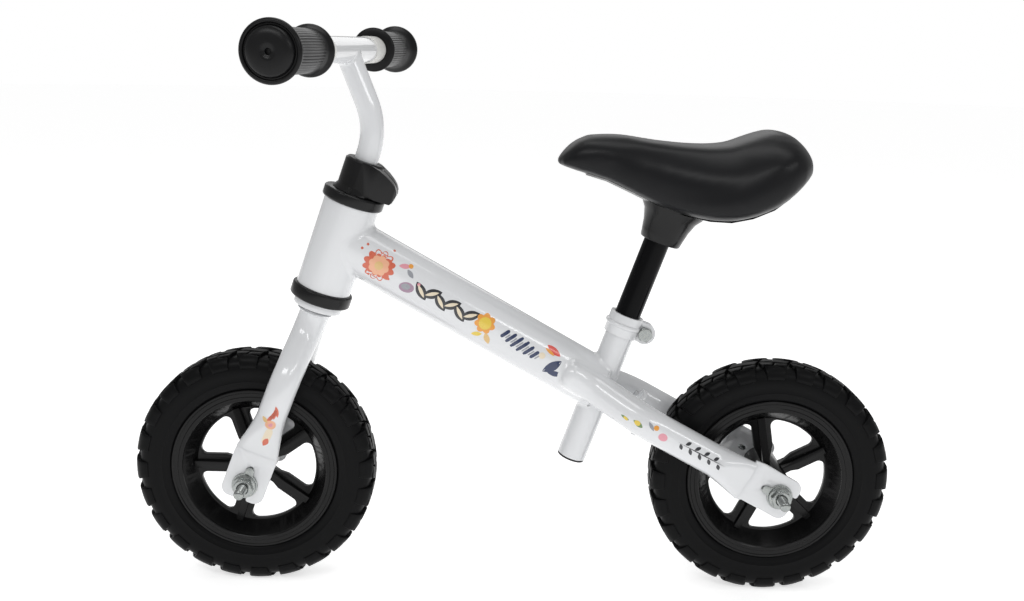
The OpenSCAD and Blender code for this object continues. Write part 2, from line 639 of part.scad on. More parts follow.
module stem_bolt_place() { steer() translate([ear_x, 0, clamp_s + stem_clamp_height / 2 - 3]) across() children(); }
module stem_clamp_bolt() color("Silver") stem_bolt_place() difference() {
  union() {
    translate([0, 0, -9.5]) cylinder(d = stem_bolt_d, h = 18.5);
    translate([0, 0, -14.5]) cylinder(d = 10, h = 5);
  }
  translate([0, 0, -15]) cylinder(d = 5.8, h = 3.5, $fn = 6);
}
module stem_clamp_nut() color("Silver") stem_bolt_place() translate([0, 0, 3]) difference() {
  cylinder(d = 11.5, h = 5, $fn = 6);
  translate([0, 0, -1]) cylinder(d = stem_bolt_d, h = 7);
}

// ---- handlebar ----
module stem_path(t, out) {
  translate([0, 0, stem_bottom_s - out]) cylinder(r = t, h = stem_bend_s - stem_bottom_s + out + lap);
  translate([0, 0, stem_bend_s]) rotate([0, 0, -90]) {
    bend(stem_bend_r, stem_bend_angle, t - step);
    after_bend(stem_bend_r, stem_bend_angle) translate([0, 0, -lap]) cylinder(r = t, h = stem_tip + out + lap);
  }
}
// the bar is welded level, with its grips even about the middle plane, when it is turned by bar_turn
module bar_place() {
  turned_bar() translate([bar_forward, 0, bar_s])
    rotate([atan(sin(bar_turn) / tan(head_angle)), 0, 0]) across() translate([0, 0, bar_slide]) children();
}
module stem_tube() color("White") difference() {
  turned_bar() stem_path(stem_d / 2, 0);
  turned_bar() stem_path(stem_d / 2 - stem_wall, 1);
  bar_place() translate([0, 0, -60]) cylinder(d = bar_d, h = 120);
}
module handlebar_tube() color("White") bar_place() translate([0, 0, -bar_half]) difference() {
  cylinder(d = bar_d, h = 2 * bar_half);
  translate([0, 0, -1]) cylinder(d = bar_d - 2 * bar_wall, h = 2 * bar_half + 2);
}
module sleeve() color("#d8d0bf") translate([0, 0, grip_inner_y - sleeve_shown]) difference() {
  cylinder(r = bar_d / 2 + sleeve_wall, h = bar_half - grip_inner_y + sleeve_shown);
  translate([0, 0, -1]) cylinder(d = bar_d, h = bar_half);
}
module grip() color("#18181a") difference() {
  rotate_extrude() polygon([[0, grip_inner_y], [grip_inner_r - 2, grip_inner_y], [grip_inner_r, grip_inner_y + 1.5],
    [grip_inner_r, grip_inner_y + 4], [grip_inner_r - 1.5, grip_inner_y + 6], [grip_r, grip_inner_y + 9],
    [grip_r - 0.4, grip_inner_y + 20], [grip_r + 0.3, (grip_inner_y + grip_reach) / 2], [grip_r - 0.4, grip_reach - 18],
    [grip_r, grip_reach - 8], [grip_r + 2.5, grip_reach - 4.5], [grip_flange_r - 1, grip_reach - 2.5],
    [grip_flange_r, grip_reach - 1], [grip_flange_r, grip_reach + 1.5], [grip_flange_r - 2, grip_reach + 3.5],
    [grip_flange_r - 5, grip_reach + 4.5], [grip_flange_r - 7, grip_reach + 6.5], [grip_flange_r * 0.4, grip_reach + 8],
    [0, grip_reach + 8]]);
  translate([0, 0, grip_inner_y - 1]) cylinder(r = bar_d / 2 + sleeve_wall, h = bar_half - grip_inner_y + 1);
  translate([0, 0, grip_reach + 3]) cylinder(r = 2, h = 8);
}
module left_grip() { bar_place() grip(); }
module right_grip() { bar_place() mirror([0, 0, 1]) grip(); }
module left_grip_sleeve() { bar_place() sleeve(); }
module right_grip_sleeve() { bar_place() mirror([0, 0, 1]) sleeve(); }

// ---- seat ----
module seat_post() color("#101012") seat_line() translate([0, 0, post_top - seat_post_length]) difference() {
  cylinder(d = seat_post_d, h = seat_post_length);
  translate([0, 0, -1]) cylinder(d = seat_post_d - 2 * seat_post_wall, h = seat_post_length + 2);
}
module station(i, inset, low) {
  s = stations[i];
  w = s[1] * saddle_width - inset;
  top = low > 0 ? s[3] : s[2];
  bot = low > 0 ? s[3] - low : s[3];
  r1 = min(low > 0 ? 1.5 : 17, w * 0.8, (top - bot) / 2 - 0.1);
  r2 = min(low > 0 ? 1.5 : 7, w * 0.8);
  translate([saddle_front - s[0] * saddle_length, 0, saddle_z]) rotate([90, 0, 90]) linear_extrude(0.2) hull()
    for (m = [-1, 1]) {
      translate([m * (w - r1), top - r1]) circle(r = r1, $fn = 28);
      translate([m * (w - r2 - (low > 0 ? 0 : 3)), bot + r2]) circle(r = r2, $fn = 16);
    }
}
module saddle_pad() color("#141416") union() {
  for (i = [0:len(stations) - 2]) hull() { station(i, 0, 0); station(i + 1, 0, 0); }
}
module saddle_base() color("#101012") difference() {
  union() {
    for (i = [1:len(stations) - 3]) hull() { station(i, 14, 4); station(i + 1, 14, 4); }
    seat_line() translate([-2.4, 0, socket_z])
      cylinder(r1 = seat_post_d / 2 + 7.3, r2 = seat_post_d / 2 + 18, h = socket_height + 12);
  }
  translate([0, 0, -0.1]) saddle_pad();
  seat_line() translate([0, 0, socket_z - 1]) cylinder(d = seat_post_d, h = post_top - socket_z + 1);
}

head_tube();
main_tube();
seat_tube();
left_stay();
right_stay();
stay_bridge();
upper_headset_cup();
lower_headset_cup();
seat_clamp();
seat_clamp_bolt();
seat_clamp_nut();
seat_tube_plug();
rear_axle();
rear_left_nut();
rear_right_nut();
rear_left_tab_washer();
rear_right_tab_washer();
rear_left_spacer();
rear_right_spacer();
rear_tyre();
rear_rim();
rear_left_bearing();
rear_right_bearing();
steerer_tube();
fork_crown();
fork_left_leg();
fork_right_leg();
front_axle();
front_left_nut();
front_right_nut();
front_left_tab_washer();
front_right_tab_washer();
front_left_spacer();
front_right_spacer();
front_tyre();
front_rim();
front_left_bearing();
front_right_bearing();
stem_clamp();
stem_clamp_bolt();
stem_clamp_nut();
stem_tube();
handlebar_tube();
left_grip();
right_grip();
left_grip_sleeve();
right_grip_sleeve();
seat_post();
saddle_base();
saddle_pad();
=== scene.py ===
"""Looks of a child's balance bike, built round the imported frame.

Each sub-assembly is a class that makes its own meshes in metres, in the frame's axes: X towards
the bike's front, Y towards its left, Z up. Painted tubes, moulded wheels, the tread, the bar, the
saddle and the fasteners are pieces of their own; simple turned parts keep the frame's mesh.
"""

import logging
import math
from dataclasses import dataclass, field
from enum import Enum
from typing import Callable, Iterable, Optional, Sequence

import bmesh
import bpy
from mathutils import Matrix, Vector
from mathutils.bvhtree import BVHTree


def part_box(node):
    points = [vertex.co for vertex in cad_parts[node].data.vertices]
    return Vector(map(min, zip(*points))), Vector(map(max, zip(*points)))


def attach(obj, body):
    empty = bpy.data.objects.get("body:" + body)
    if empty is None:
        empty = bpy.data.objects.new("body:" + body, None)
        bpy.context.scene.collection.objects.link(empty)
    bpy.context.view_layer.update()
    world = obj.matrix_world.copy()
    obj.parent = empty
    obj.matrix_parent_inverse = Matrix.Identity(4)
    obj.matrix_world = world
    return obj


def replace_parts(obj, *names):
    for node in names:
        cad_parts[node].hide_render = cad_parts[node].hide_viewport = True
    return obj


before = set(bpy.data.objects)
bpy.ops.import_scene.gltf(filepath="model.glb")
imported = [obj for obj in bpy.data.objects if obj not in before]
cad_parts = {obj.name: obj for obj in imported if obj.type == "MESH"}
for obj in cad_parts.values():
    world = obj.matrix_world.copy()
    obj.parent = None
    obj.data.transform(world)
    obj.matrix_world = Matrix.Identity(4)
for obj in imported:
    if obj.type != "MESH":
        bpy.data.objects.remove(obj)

log = logging.getLogger("balance_bike")
Point = tuple[float, float]
MM = 0.001
Y_AXIS = Vector((0.0, 1.0, 0.0))
SHORTEST_CHAIN = 6  # points; anything shorter is a stray crossing


# ---------------------------------------------------------------- layout of the bike


class Side(Enum):
    """The two sides of the bike."""

    LEFT = 1
    RIGHT = -1


@dataclass(frozen=True)
class Line:
    """A straight line in space, with a place on it."""

    start: Vector
    along: Vector

    def at(self, distance: float) -> Vector:
        """The point at a distance from the start."""
        return self.start + self.along * distance

    def distance(self, p: Vector) -> float:
        """How far a point is from the endless line."""
        w = p - self.start
        return (w - self.along * w.dot(self.along)).length

    def place(self, distance: float = 0.0, side: Vector = Y_AXIS) -> Matrix:
        """A local frame on the line: Z along it, Y to the given side.

        Args:
            distance: where on the line the frame sits.
            side: direction that becomes local Y.

        Returns:
            The 4x4 matrix of that frame.
        """
        z = self.along.normalized()
        x = side.cross(z).normalized()
        y = z.cross(x)
        m = Matrix((x, y, z)).transposed().to_4x4()
        m.translation = self.at(distance)
        return m


@dataclass(frozen=True)
class Layout:
    """Driving sizes of the bike in millimetres, the same as the solids' own."""

    wheel_r: float = 120.0
    wheelbase: float = 518.0
    rim_lip_r: float = 83.2
    rim_width: float = 38.0
    head_angle: float = 71.2
    fork_offset: float = 6.0
    crown_gap: float = 55.0
    crown_height: float = 9.0
    lower_cup: float = 13.0
    head_length: float = 89.0
    head_d: float = 54.0
    upper_cup: float = 11.0
    clamp_height: float = 32.0
    main_d: float = 52.0
    main_join: float = 7.5
    seat_joint: Point = (174.0, 91.0)
    seat_angle: float = 71.1
    seat_tube_d: float = 28.6
    seat_below: float = 79.0
    seat_above: float = 76.0
    stay_d: float = 31.8
    leg_d: float = 28.6
    dropout_y: float = 57.0
    plate: float = 4.0
    stem_d: float = 23.0
    bar_d: float = 25.4
    bar_height: float = 91.0
    bar_forward: float = 51.0
    bar_turn: float = -6.9
    axle_d: float = 10.0
    axle_length: float = 174.0
    post_shown: float = 80.0
    socket: float = 30.0
    gap: float = 0.3

    @property
    def front(self) -> Vector:
        """Middle of the front axle."""
        return Vector((self.wheelbase / 2, 0, self.wheel_r)) * MM

    @property
    def rear(self) -> Vector:
        """Middle of the rear axle."""
        return Vector((-self.wheelbase / 2, 0, self.wheel_r)) * MM

    @property
    def steer(self) -> Line:
        """Steering axis, from its foot by the front axle upwards."""
        a = math.radians(self.head_angle)
        foot = self.front - Vector((math.sin(a), 0, math.cos(a))) * self.fork_offset * MM
        return Line(foot, Vector((-math.cos(a), 0, math.sin(a))))

    @property
    def crown_s(self) -> float:
        """Underside of the crown along the steering axis, in metres."""
        return (self.wheel_r + self.crown_gap) * MM

    @property
    def head_s(self) -> float:
        """Foot of the head tube along the steering axis, in metres."""
        return self.crown_s + (self.crown_height + self.gap + self.lower_cup) * MM

    @property
    def clamp_s(self) -> float:
        """Foot of the stem clamp along the steering axis, in metres."""
        return self.head_s + (self.head_length + self.upper_cup + self.gap) * MM

    @property
    def seat_point(self) -> Vector:
        """Where the main tube's axis meets the seat tube's."""
        return self.rear + Vector((self.seat_joint[0], 0, self.seat_joint[1])) * MM

    @property
    def main(self) -> Line:
        """Main tube's axis, from the head tube backwards."""
        top = self.steer.at(self.head_s + (self.head_length / 2 + self.main_join) * MM)
        return Line(top, (self.seat_point - top).normalized())

    @property
    def main_length(self) -> float:
        """Length of the main tube's axis, in metres."""
        return (self.seat_point - self.main.start).length

    @property
    def seat(self) -> Line:
        """Seat tube's axis upwards."""
        a = math.radians(self.seat_angle)
        return Line(self.seat_point, Vector((-math.cos(a), 0, math.sin(a))))

    @property
    def stay(self) -> Line:
        """Middle line of the stays in side view, backwards."""
        end = self.rear - Vector((0, 0, 0.003))
        return Line(self.seat_point, (end - self.seat_point).normalized())

    @property
    def leg(self) -> Line:
        """Middle line of the fork legs in side view, downwards."""
        top = self.steer.at(self.crown_s)
        return Line(top, (self.front - top).normalized())

    @property
    def bar_place(self) -> Matrix:
        """Local frame of the handlebar: Z along it to the left, Y forward."""
        turn = math.radians(self.bar_turn)
        level = math.atan(math.sin(turn) / math.tan(math.radians(self.head_angle)))
        s = self.clamp_s + (self.clamp_height + self.bar_height) * MM
        return (
            self.steer.place()
            @ Matrix.Rotation(turn, 4, "Z")
            @ Matrix.Translation((self.bar_forward * MM, 0, s))
            @ Matrix.Rotation(level, 4, "X")
            @ Matrix.Rotation(math.radians(-90), 4, "X")
            @ Matrix.Translation((0, 0, -self.bar_forward * math.tan(turn) * MM))
        )


LAY = Layout()


# ---------------------------------------------------------------- mesh making


def turns(count: int) -> list[float]:
    """Angles in radians that divide a full turn evenly."""
    return [2 * math.pi * i / count for i in range(count)]


def polar(radius: float, turn: float, height: float) -> Vector:
    """A point about local Z, in the unit of its sizes."""
    return Vector((radius * math.cos(turn), radius * math.sin(turn), height))


def linked(name: str, data: bpy.types.ID) -> bpy.types.Object:
    """Makes an object of some data and links it to the scene."""
    made = bpy.data.objects.new(name, data)
    bpy.context.scene.collection.objects.link(made)
    return made


@dataclass
class Shell:
    """A mesh being made ring by ring."""

    points: list[Vector] = field(default_factory=list)
    faces: list[tuple[int, ...]] = field(default_factory=list)
    slots: list[int] = field(default_factory=list)

    def ring(self, points: Iterable[Vector]) -> list[int]:
        """Adds points and returns their numbers."""
        first = len(self.points)
        self.points.extend(Vector(p) for p in points)
        return list(range(first, len(self.points)))

    def face(self, corners: Sequence[int], slot: int = 0) -> None:
        """Adds one face with a material slot."""
        self.faces.append(tuple(corners))
        self.slots.append(slot)

    def bridge(self, a: Sequence[int], b: Sequence[int], closed: bool = True, slot: int = 0) -> None:
        """Joins two rings of the same count with quads.

        Args:
            a: first ring.
            b: second ring.
            closed: whether the last point joins the first.
            slot: material slot of the new faces.
        """
        n = len(a)
        for i in range(n if closed else n - 1):
            j = (i + 1) % n
            self.face((a[i], a[j], b[j], b[i]), slot)

    def loft(self, rings: Sequence[Sequence[Vector]], caps: bool = True, loop: bool = False) -> None:
        """Skins a row of rings.

        Args:
            rings: rings of points, all of one count.
            caps: closes both ends with one face each.
            loop: joins the last ring to the first.
        """
        made = [self.ring(r) for r in rings]
        for a, b in zip(made, made[1:]):
            self.bridge(a, b)
        if loop:
            self.bridge(made[-1], made[0])
        elif caps:
            self.face(list(reversed(made[0])))
            self.face(made[-1])

    def lathe(self, profile: Sequence[Point], place: Matrix, count: int = 96, loop: bool = False) -> None:
        """Turns a profile of (radius, height) in millimetres about local Z.

        Args:
            profile: points of the outline; a radius of 0 at an end closes it.
            place: local frame of the turning axis.
            count: points round the axis.
            loop: joins the profile's end to its start.
        """
        rings = []
        for r, z in profile:
            if r < 1e-6:
                rings.append(self.ring([place @ Vector((0, 0, z * MM))]))
            else:
                rings.append(self.ring(place @ Vector((r * math.cos(t) * MM, r * math.sin(t) * MM, z * MM))
                                       for t in turns(count)))
        pairs = list(zip(rings, rings[1:])) + ([(rings[-1], rings[0])] if loop else [])
        for a, b in pairs:
            if len(a) == 1 and len(b) == 1:
                continue
            if len(a) == 1 or len(b) == 1:
                tip, rim = (a[0], b) if len(a) == 1 else (b[0], a)
                for i in range(count):
                    self.face((tip, rim[i], rim[(i + 1) % count]))
            else:
                self.bridge(a, b)

    def mesh(self, name: str) -> bpy.types.Mesh:
        """The bare mesh, without slots or shading."""
        made = bpy.data.meshes.new(name)
        made.from_pydata([tuple(p) for p in self.points], [], self.faces)
        return made

    def build(self, name: str, finishes: Sequence["Finish"], smooth: float = 40.0) -> bpy.types.Object:
        """Makes the object.

        Args:
            name: name of the piece.
            finishes: one finish for each material slot.
            smooth: angle in degrees under which edges are shaded smooth.

        Returns:
            The new object, linked to the scene, with faces pointing outwards.
        """
        mesh = self.mesh(name)
        mesh.polygons.foreach_set("material_index", self.slots)
        work = bmesh.new()
        work.from_mesh(mesh)
        bmesh.ops.remove_doubles(work, verts=work.verts, dist=1e-6)
        bmesh.ops.dissolve_degenerate(work, edges=work.edges, dist=1e-7)
        bmesh.ops.recalc_face_normals(work, faces=work.faces)
        work.to_mesh(mesh)
        work.free()
        shade(mesh, smooth)
        made = linked(name, mesh)
        dress(made, *finishes)
        return made


def shade(mesh: bpy.types.Mesh, angle: float) -> None:
    """Shades a mesh smooth apart from edges sharper than an angle in degrees."""
    mesh.shade_smooth()
    mesh.set_sharp_from_angle(angle=math.radians(angle))


def dress(piece: bpy.types.Object, *finishes: "Finish") -> None:
    """Gives a piece its materials, one a slot, and keeps each face's slot."""
    mesh = piece.data
    slots = [0] * len(mesh.polygons)
    mesh.polygons.foreach_get("material_index", slots)
    mesh.materials.clear()
    for finish in finishes:
        mesh.materials.append(finish.material())
    if len(finishes) > 1:
        mesh.polygons.foreach_set("material_index", slots)


def settle(piece: bpy.types.Object) -> bpy.types.Object:
    """Turns a piece's modifiers into plain mesh.

    Args:
        piece: an object whose modifiers are all set.

    Returns:
        The same object with its evaluated mesh and no modifiers.
    """
    bpy.context.view_layer.update()
    graph = bpy.context.evaluated_depsgraph_get()
    mesh = bpy.data.meshes.new_from_object(piece.evaluated_get(graph), preserve_all_data_layers=True,
                                           depsgraph=graph)
    piece.modifiers.clear()
    old = piece.data
    piece.data = mesh
    mesh.name = piece.name
    if old.users == 0:
        bpy.data.meshes.remove(old)
    return piece


def join(name: str, parts: Sequence[bpy.types.Object], smooth: float = 40.0) -> bpy.types.Object:
    """Joins pieces into one object.

    Args:
        name: name of the joined piece.
        parts: objects to join; the first keeps its place.
        smooth: angle in degrees under which edges are shaded smooth.

    Returns:
        The joined object.
    """
    for o in bpy.context.selected_objects:
        o.select_set(False)
    for o in parts:
        o.select_set(True)
    bpy.context.view_layer.objects.active = parts[0]
    bpy.ops.object.join()
    parts[0].name = name
    parts[0].data.name = name
    shade(parts[0].data, smooth)
    return parts[0]


def softened(node: str, finish: "Finish", width: float = 0.5, segments: int = 2,
             angle: float = 32.0) -> bpy.types.Object:
    """A copy of a frame node with its sharp edges rounded.

    Args:
        node: name of the frame's node.
        finish: finish of the piece.
        width: size of the rounding in millimetres.
        segments: facets across a rounding.
        angle: edges sharper than this, in degrees, are rounded.

    Returns:
        The new piece, which does not yet ride on a body.
    """
    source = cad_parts[node]
    mesh = source.data.copy()
    work = bmesh.new()
    work.from_mesh(mesh)
    bmesh.ops.remove_doubles(work, verts=work.verts, dist=2e-6)
    bmesh.ops.dissolve_limit(work, angle_limit=math.radians(0.6), verts=work.verts, edges=work.edges)
    bmesh.ops.recalc_face_normals(work, faces=work.faces)
    work.to_mesh(mesh)
    work.free()
    piece = linked(node + "_finished", mesh)
    dress(piece, finish)
    bevel = piece.modifiers.new("round", "BEVEL")
    bevel.width = width * MM
    bevel.segments = segments
    bevel.limit_method = "ANGLE"
    bevel.angle_limit = math.radians(angle)
    bevel.use_clamp_overlap = True
    bevel.harden_normals = False
    settle(piece)
    shade(piece.data, 38.0)
    return piece


def surface_tree(mesh: bpy.types.Mesh) -> BVHTree:
    """Search tree of a mesh's surface."""
    return BVHTree.FromPolygons([v.co.copy() for v in mesh.vertices],
                                [tuple(f.vertices) for f in mesh.polygons])


def circle(radius: float, count: int) -> list[Point]:
    """Points of a circle in its own plane, in millimetres."""
    return [(radius * math.cos(t), radius * math.sin(t)) for t in turns(count)]


def rounded_box(width: float, height: float, corner: float, count: int) -> list[Point]:
    """Points of a rounded rectangle, evenly turned round its middle.

    Args:
        width: full size along the first axis, in millimetres.
        height: full size along the second axis.
        corner: corner radius, up to half the smaller side.
        count: number of points.

    Returns:
        Points in the plane, starting on the first axis.
    """
    corner = max(0.01, min(corner, width / 2, height / 2))
    a, b = width / 2 - corner, height / 2 - corner
    out = []
    for t in turns(count):
        c, s = math.cos(t), math.sin(t)
        # a point of the plain rectangle, drawn in to the corner's circle
        k = 1.0 / max(abs(c) / (a + corner), abs(s) / (b + corner))
        x, y = c * k, s * k
        px, py = max(-a, min(a, x)), max(-b, min(b, y))
        d = Vector((x - px, y - py))
        if d.length > 1e-9:
            d = d.normalized() * corner
        out.append((px + d.x, py + d.y))
    return out


def smoothstep(t: float) -> float:
    """Eases 0..1."""
    t = max(0.0, min(1.0, t))
    return t * t * (3 - 2 * t)


def dogleg(lead: float, radius: float, bend: float, side: float, depth: float,
           pitch: float = 3.0) -> list[tuple[float, float, float]]:
    """Route of a tube that steps sideways through two equal bends.

    Args:
        lead: straight length before the first bend, in millimetres.
        radius: bend radius.
        bend: bend angle in degrees.
        side: sideways step.
        depth: length of the route along its first direction.
        pitch: spacing of the points.

    Returns:
        Rows of (distance along, sideways step, angle of the route in radians).
    """
    a = math.radians(bend)
    mid = max(0.0, (side - 2 * radius * (1 - math.cos(a))) / math.sin(a))
    rows: list[tuple[float, float, float]] = []
    z = y = 0.0
    for kind, size in (("go", lead), ("in", a), ("go", mid), ("out", a), ("go", None)):
        heading = a if kind == "out" or (kind == "go" and rows and rows[-1][2] > a / 2) else 0.0
        if kind == "go":
            size = depth - z if size is None else size
            steps = max(1, round(size / pitch))
            for i in range(steps):
                d = size * i / steps
                rows.append((z + d * math.cos(heading), y + d * math.sin(heading), heading))
            z, y = z + size * math.cos(heading), y + size * math.sin(heading)
        else:
            steps = max(2, round(radius * size / pitch))
            for i in range(steps):
                t = size * i / steps
                if kind == "in":
                    rows.append((z + radius * math.sin(t), y + radius * (1 - math.cos(t)), t))
                else:
                    rows.append((z + radius * (math.sin(a) - math.sin(a - t)),
                                 y + radius * (math.cos(a - t) - math.cos(a)), a - t))
            z, y = z + radius * math.sin(a), y + radius * (1 - math.cos(a))
    rows.append((z, y, 0.0))
    return rows


def crossings(mesh: bpy.types.Mesh, value: Callable[[Vector], float]) -> list[list[Vector]]:
    """Lines on a mesh along which a value is nought.

    Args:
        mesh: the mesh that is cut.
        value: signed value at a point.

    Returns:
        One list of points for each closed or open line.
    """
    mesh.calc_loop_triangles()
    marks = [value(v.co) for v in mesh.vertices]
    links: dict[tuple[int, int], list[tuple[int, int]]] = {}
    where: dict[tuple[int, int], Vector] = {}
    for tri in mesh.loop_triangles:
        ends = []
        for i, j in ((0, 1), (1, 2), (2, 0)):
            a, b = tri.vertices[i], tri.vertices[j]
            if (marks[a] < 0) != (marks[b] < 0):
                key = (min(a, b), max(a, b))
                if key not in where:
                    t = marks[a] / (marks[a] - marks[b])
                    where[key] = mesh.vertices[a].co.lerp(mesh.vertices[b].co, t)
                ends.append(key)
        if len(ends) == 2:
            links.setdefault(ends[0], []).append(ends[1])
            links.setdefault(ends[1], []).append(ends[0])
    lines, seen = [], set()
    for start in links:
        if start in seen:
            continue
        chain, here = [start], start
        seen.add(start)
        while True:
            onward = [k for k in links[here] if k not in seen]
            if not onward:
                break
            here = onward[0]
            seen.add(here)
            chain.append(here)
        if len(chain) > SHORTEST_CHAIN:
            lines.append([where[k] for k in chain])
    return lines


def evenly(line: Sequence[Vector], pitch: float, closed: bool = True) -> list[Vector]:
    """Points at an even spacing along a line.

    Args:
        line: points of the line.
        pitch: wanted spacing in metres.
        closed: whether the line returns to its start.

    Returns:
        The new points.
    """
    pts = list(line) + ([line[0]] if closed else [])
    run = [0.0]
    for a, b in zip(pts, pts[1:]):
        run.append(run[-1] + (b - a).length)
    count = max(8, round(run[-1] / pitch))
    out, k = [], 0
    for i in range(count if closed else count + 1):
        d = run[-1] * i / count
        while k < len(run) - 2 and run[k + 1] < d:
            k += 1
        span = run[k + 1] - run[k]
        out.append(pts[k].lerp(pts[k + 1], 0 if span < 1e-12 else (d - run[k]) / span))
    if closed:
        n = len(out)
        for _ in range(3):
            out = [(out[i - 1] + out[i] * 2 + out[(i + 1) % n]) / 4 for i in range(n)]
    return out


# ---------------------------------------------------------------- finishes


def math_node(nodes: bpy.types.Nodes, operation: str) -> bpy.types.Node:
    """Adds a maths node with its operation set."""
    made = nodes.new("ShaderNodeMath")
    made.operation = operation
    return made


class Effect:
    """Shader node groups that several finishes share."""

    made: dict[str, bpy.types.NodeTree] = {}

    @classmethod
    def _new(cls, name: str, inputs: Sequence[tuple[str, str, object]],
             outputs: Sequence[tuple[str, str]]) -> bpy.types.NodeTree:
        """Makes an empty group with named sockets."""
        tree = bpy.data.node_groups.new(name, "ShaderNodeTree")
        for label, kind, value in inputs:
            s = tree.interface.new_socket(name=label, in_out="INPUT", socket_type=kind)
            s.default_value = value
        for label, kind in outputs:
            tree.interface.new_socket(name=label, in_out="OUTPUT", socket_type=kind)
        cls.made[name] = tree
        return tree

    @classmethod
    def mottle(cls) -> bpy.types.NodeTree:
        """Slow change of tone and gloss over a surface.

        Returns:
            A group with inputs Colour, Depth, Scale, Gloss and Gloss change, and outputs Colour
            and Roughness.
        """
        if "mottle" in cls.made:
            return cls.made["mottle"]
        f, c = "NodeSocketFloat", "NodeSocketColor"
        tree = cls._new(
            "mottle",
            [("Colour", c, (0.5, 0.5, 0.5, 1)), ("Depth", f, 0.1), ("Scale", f, 8.0), ("Gloss", f, 0.4),
             ("Gloss change", f, 0.05)],
            [("Colour", c), ("Roughness", f)],
        )
        n, link = tree.nodes, tree.links.new
        gin, gout = n.new("NodeGroupInput"), n.new("NodeGroupOutput")
        coord = n.new("ShaderNodeTexCoord")
        noise = n.new("ShaderNodeTexNoise")
        noise.inputs["Detail"].default_value = 4.0
        link(coord.outputs["Object"], noise.inputs["Vector"])
        link(gin.outputs["Scale"], noise.inputs["Scale"])
        centred = math_node(n, "SUBTRACT")
        link(noise.outputs["Fac"], centred.inputs[0])
        centred.inputs[1].default_value = 0.5
        deep = math_node(n, "MULTIPLY_ADD")
        link(centred.outputs[0], deep.inputs[0])
        link(gin.outputs["Depth"], deep.inputs[1])
        deep.inputs[2].default_value = 1.0
        tone = n.new("ShaderNodeVectorMath")
        tone.operation = "SCALE"
        link(gin.outputs["Colour"], tone.inputs[0])
        link(deep.outputs[0], tone.inputs["Scale"])
        link(tone.outputs[0], gout.inputs["Colour"])
        gloss = math_node(n, "MULTIPLY_ADD")
        link(centred.outputs[0], gloss.inputs[0])
        link(gin.outputs["Gloss change"], gloss.inputs[1])
        link(gin.outputs["Gloss"], gloss.inputs[2])
        link(gloss.outputs[0], gout.inputs["Roughness"])
        return tree

    @classmethod
    def grain(cls) -> bpy.types.NodeTree:
        """Fine surface relief from pebbles and speckle.

        Returns:
            A group with inputs Pebble scale, Speckle scale and Pebble share, and output Height.
        """
        if "grain" in cls.made:
            return cls.made["grain"]
        f = "NodeSocketFloat"
        tree = cls._new("grain", [("Pebble scale", f, 600.0), ("Speckle scale", f, 900.0),
                                  ("Pebble share", f, 0.5)], [("Height", f)])
        n, link = tree.nodes, tree.links.new
        gin, gout = n.new("NodeGroupInput"), n.new("NodeGroupOutput")
        coord = n.new("ShaderNodeTexCoord")
        cells = n.new("ShaderNodeTexVoronoi")
        cells.feature = "SMOOTH_F1"
        speck = n.new("ShaderNodeTexNoise")
        speck.inputs["Detail"].default_value = 3.0
        for node, label in ((cells, "Pebble scale"), (speck, "Speckle scale")):
            link(coord.outputs["Object"], node.inputs["Vector"])
            link(gin.outputs[label], node.inputs["Scale"])
        mix = n.new("ShaderNodeMix")
        mix.data_type = "FLOAT"
        link(gin.outputs["Pebble share"], mix.inputs["Factor"])
        link(speck.outputs["Fac"], mix.inputs["A"])
        link(cells.outputs["Distance"], mix.inputs["B"])
        link(mix.outputs["Result"], gout.inputs["Height"])
        return tree


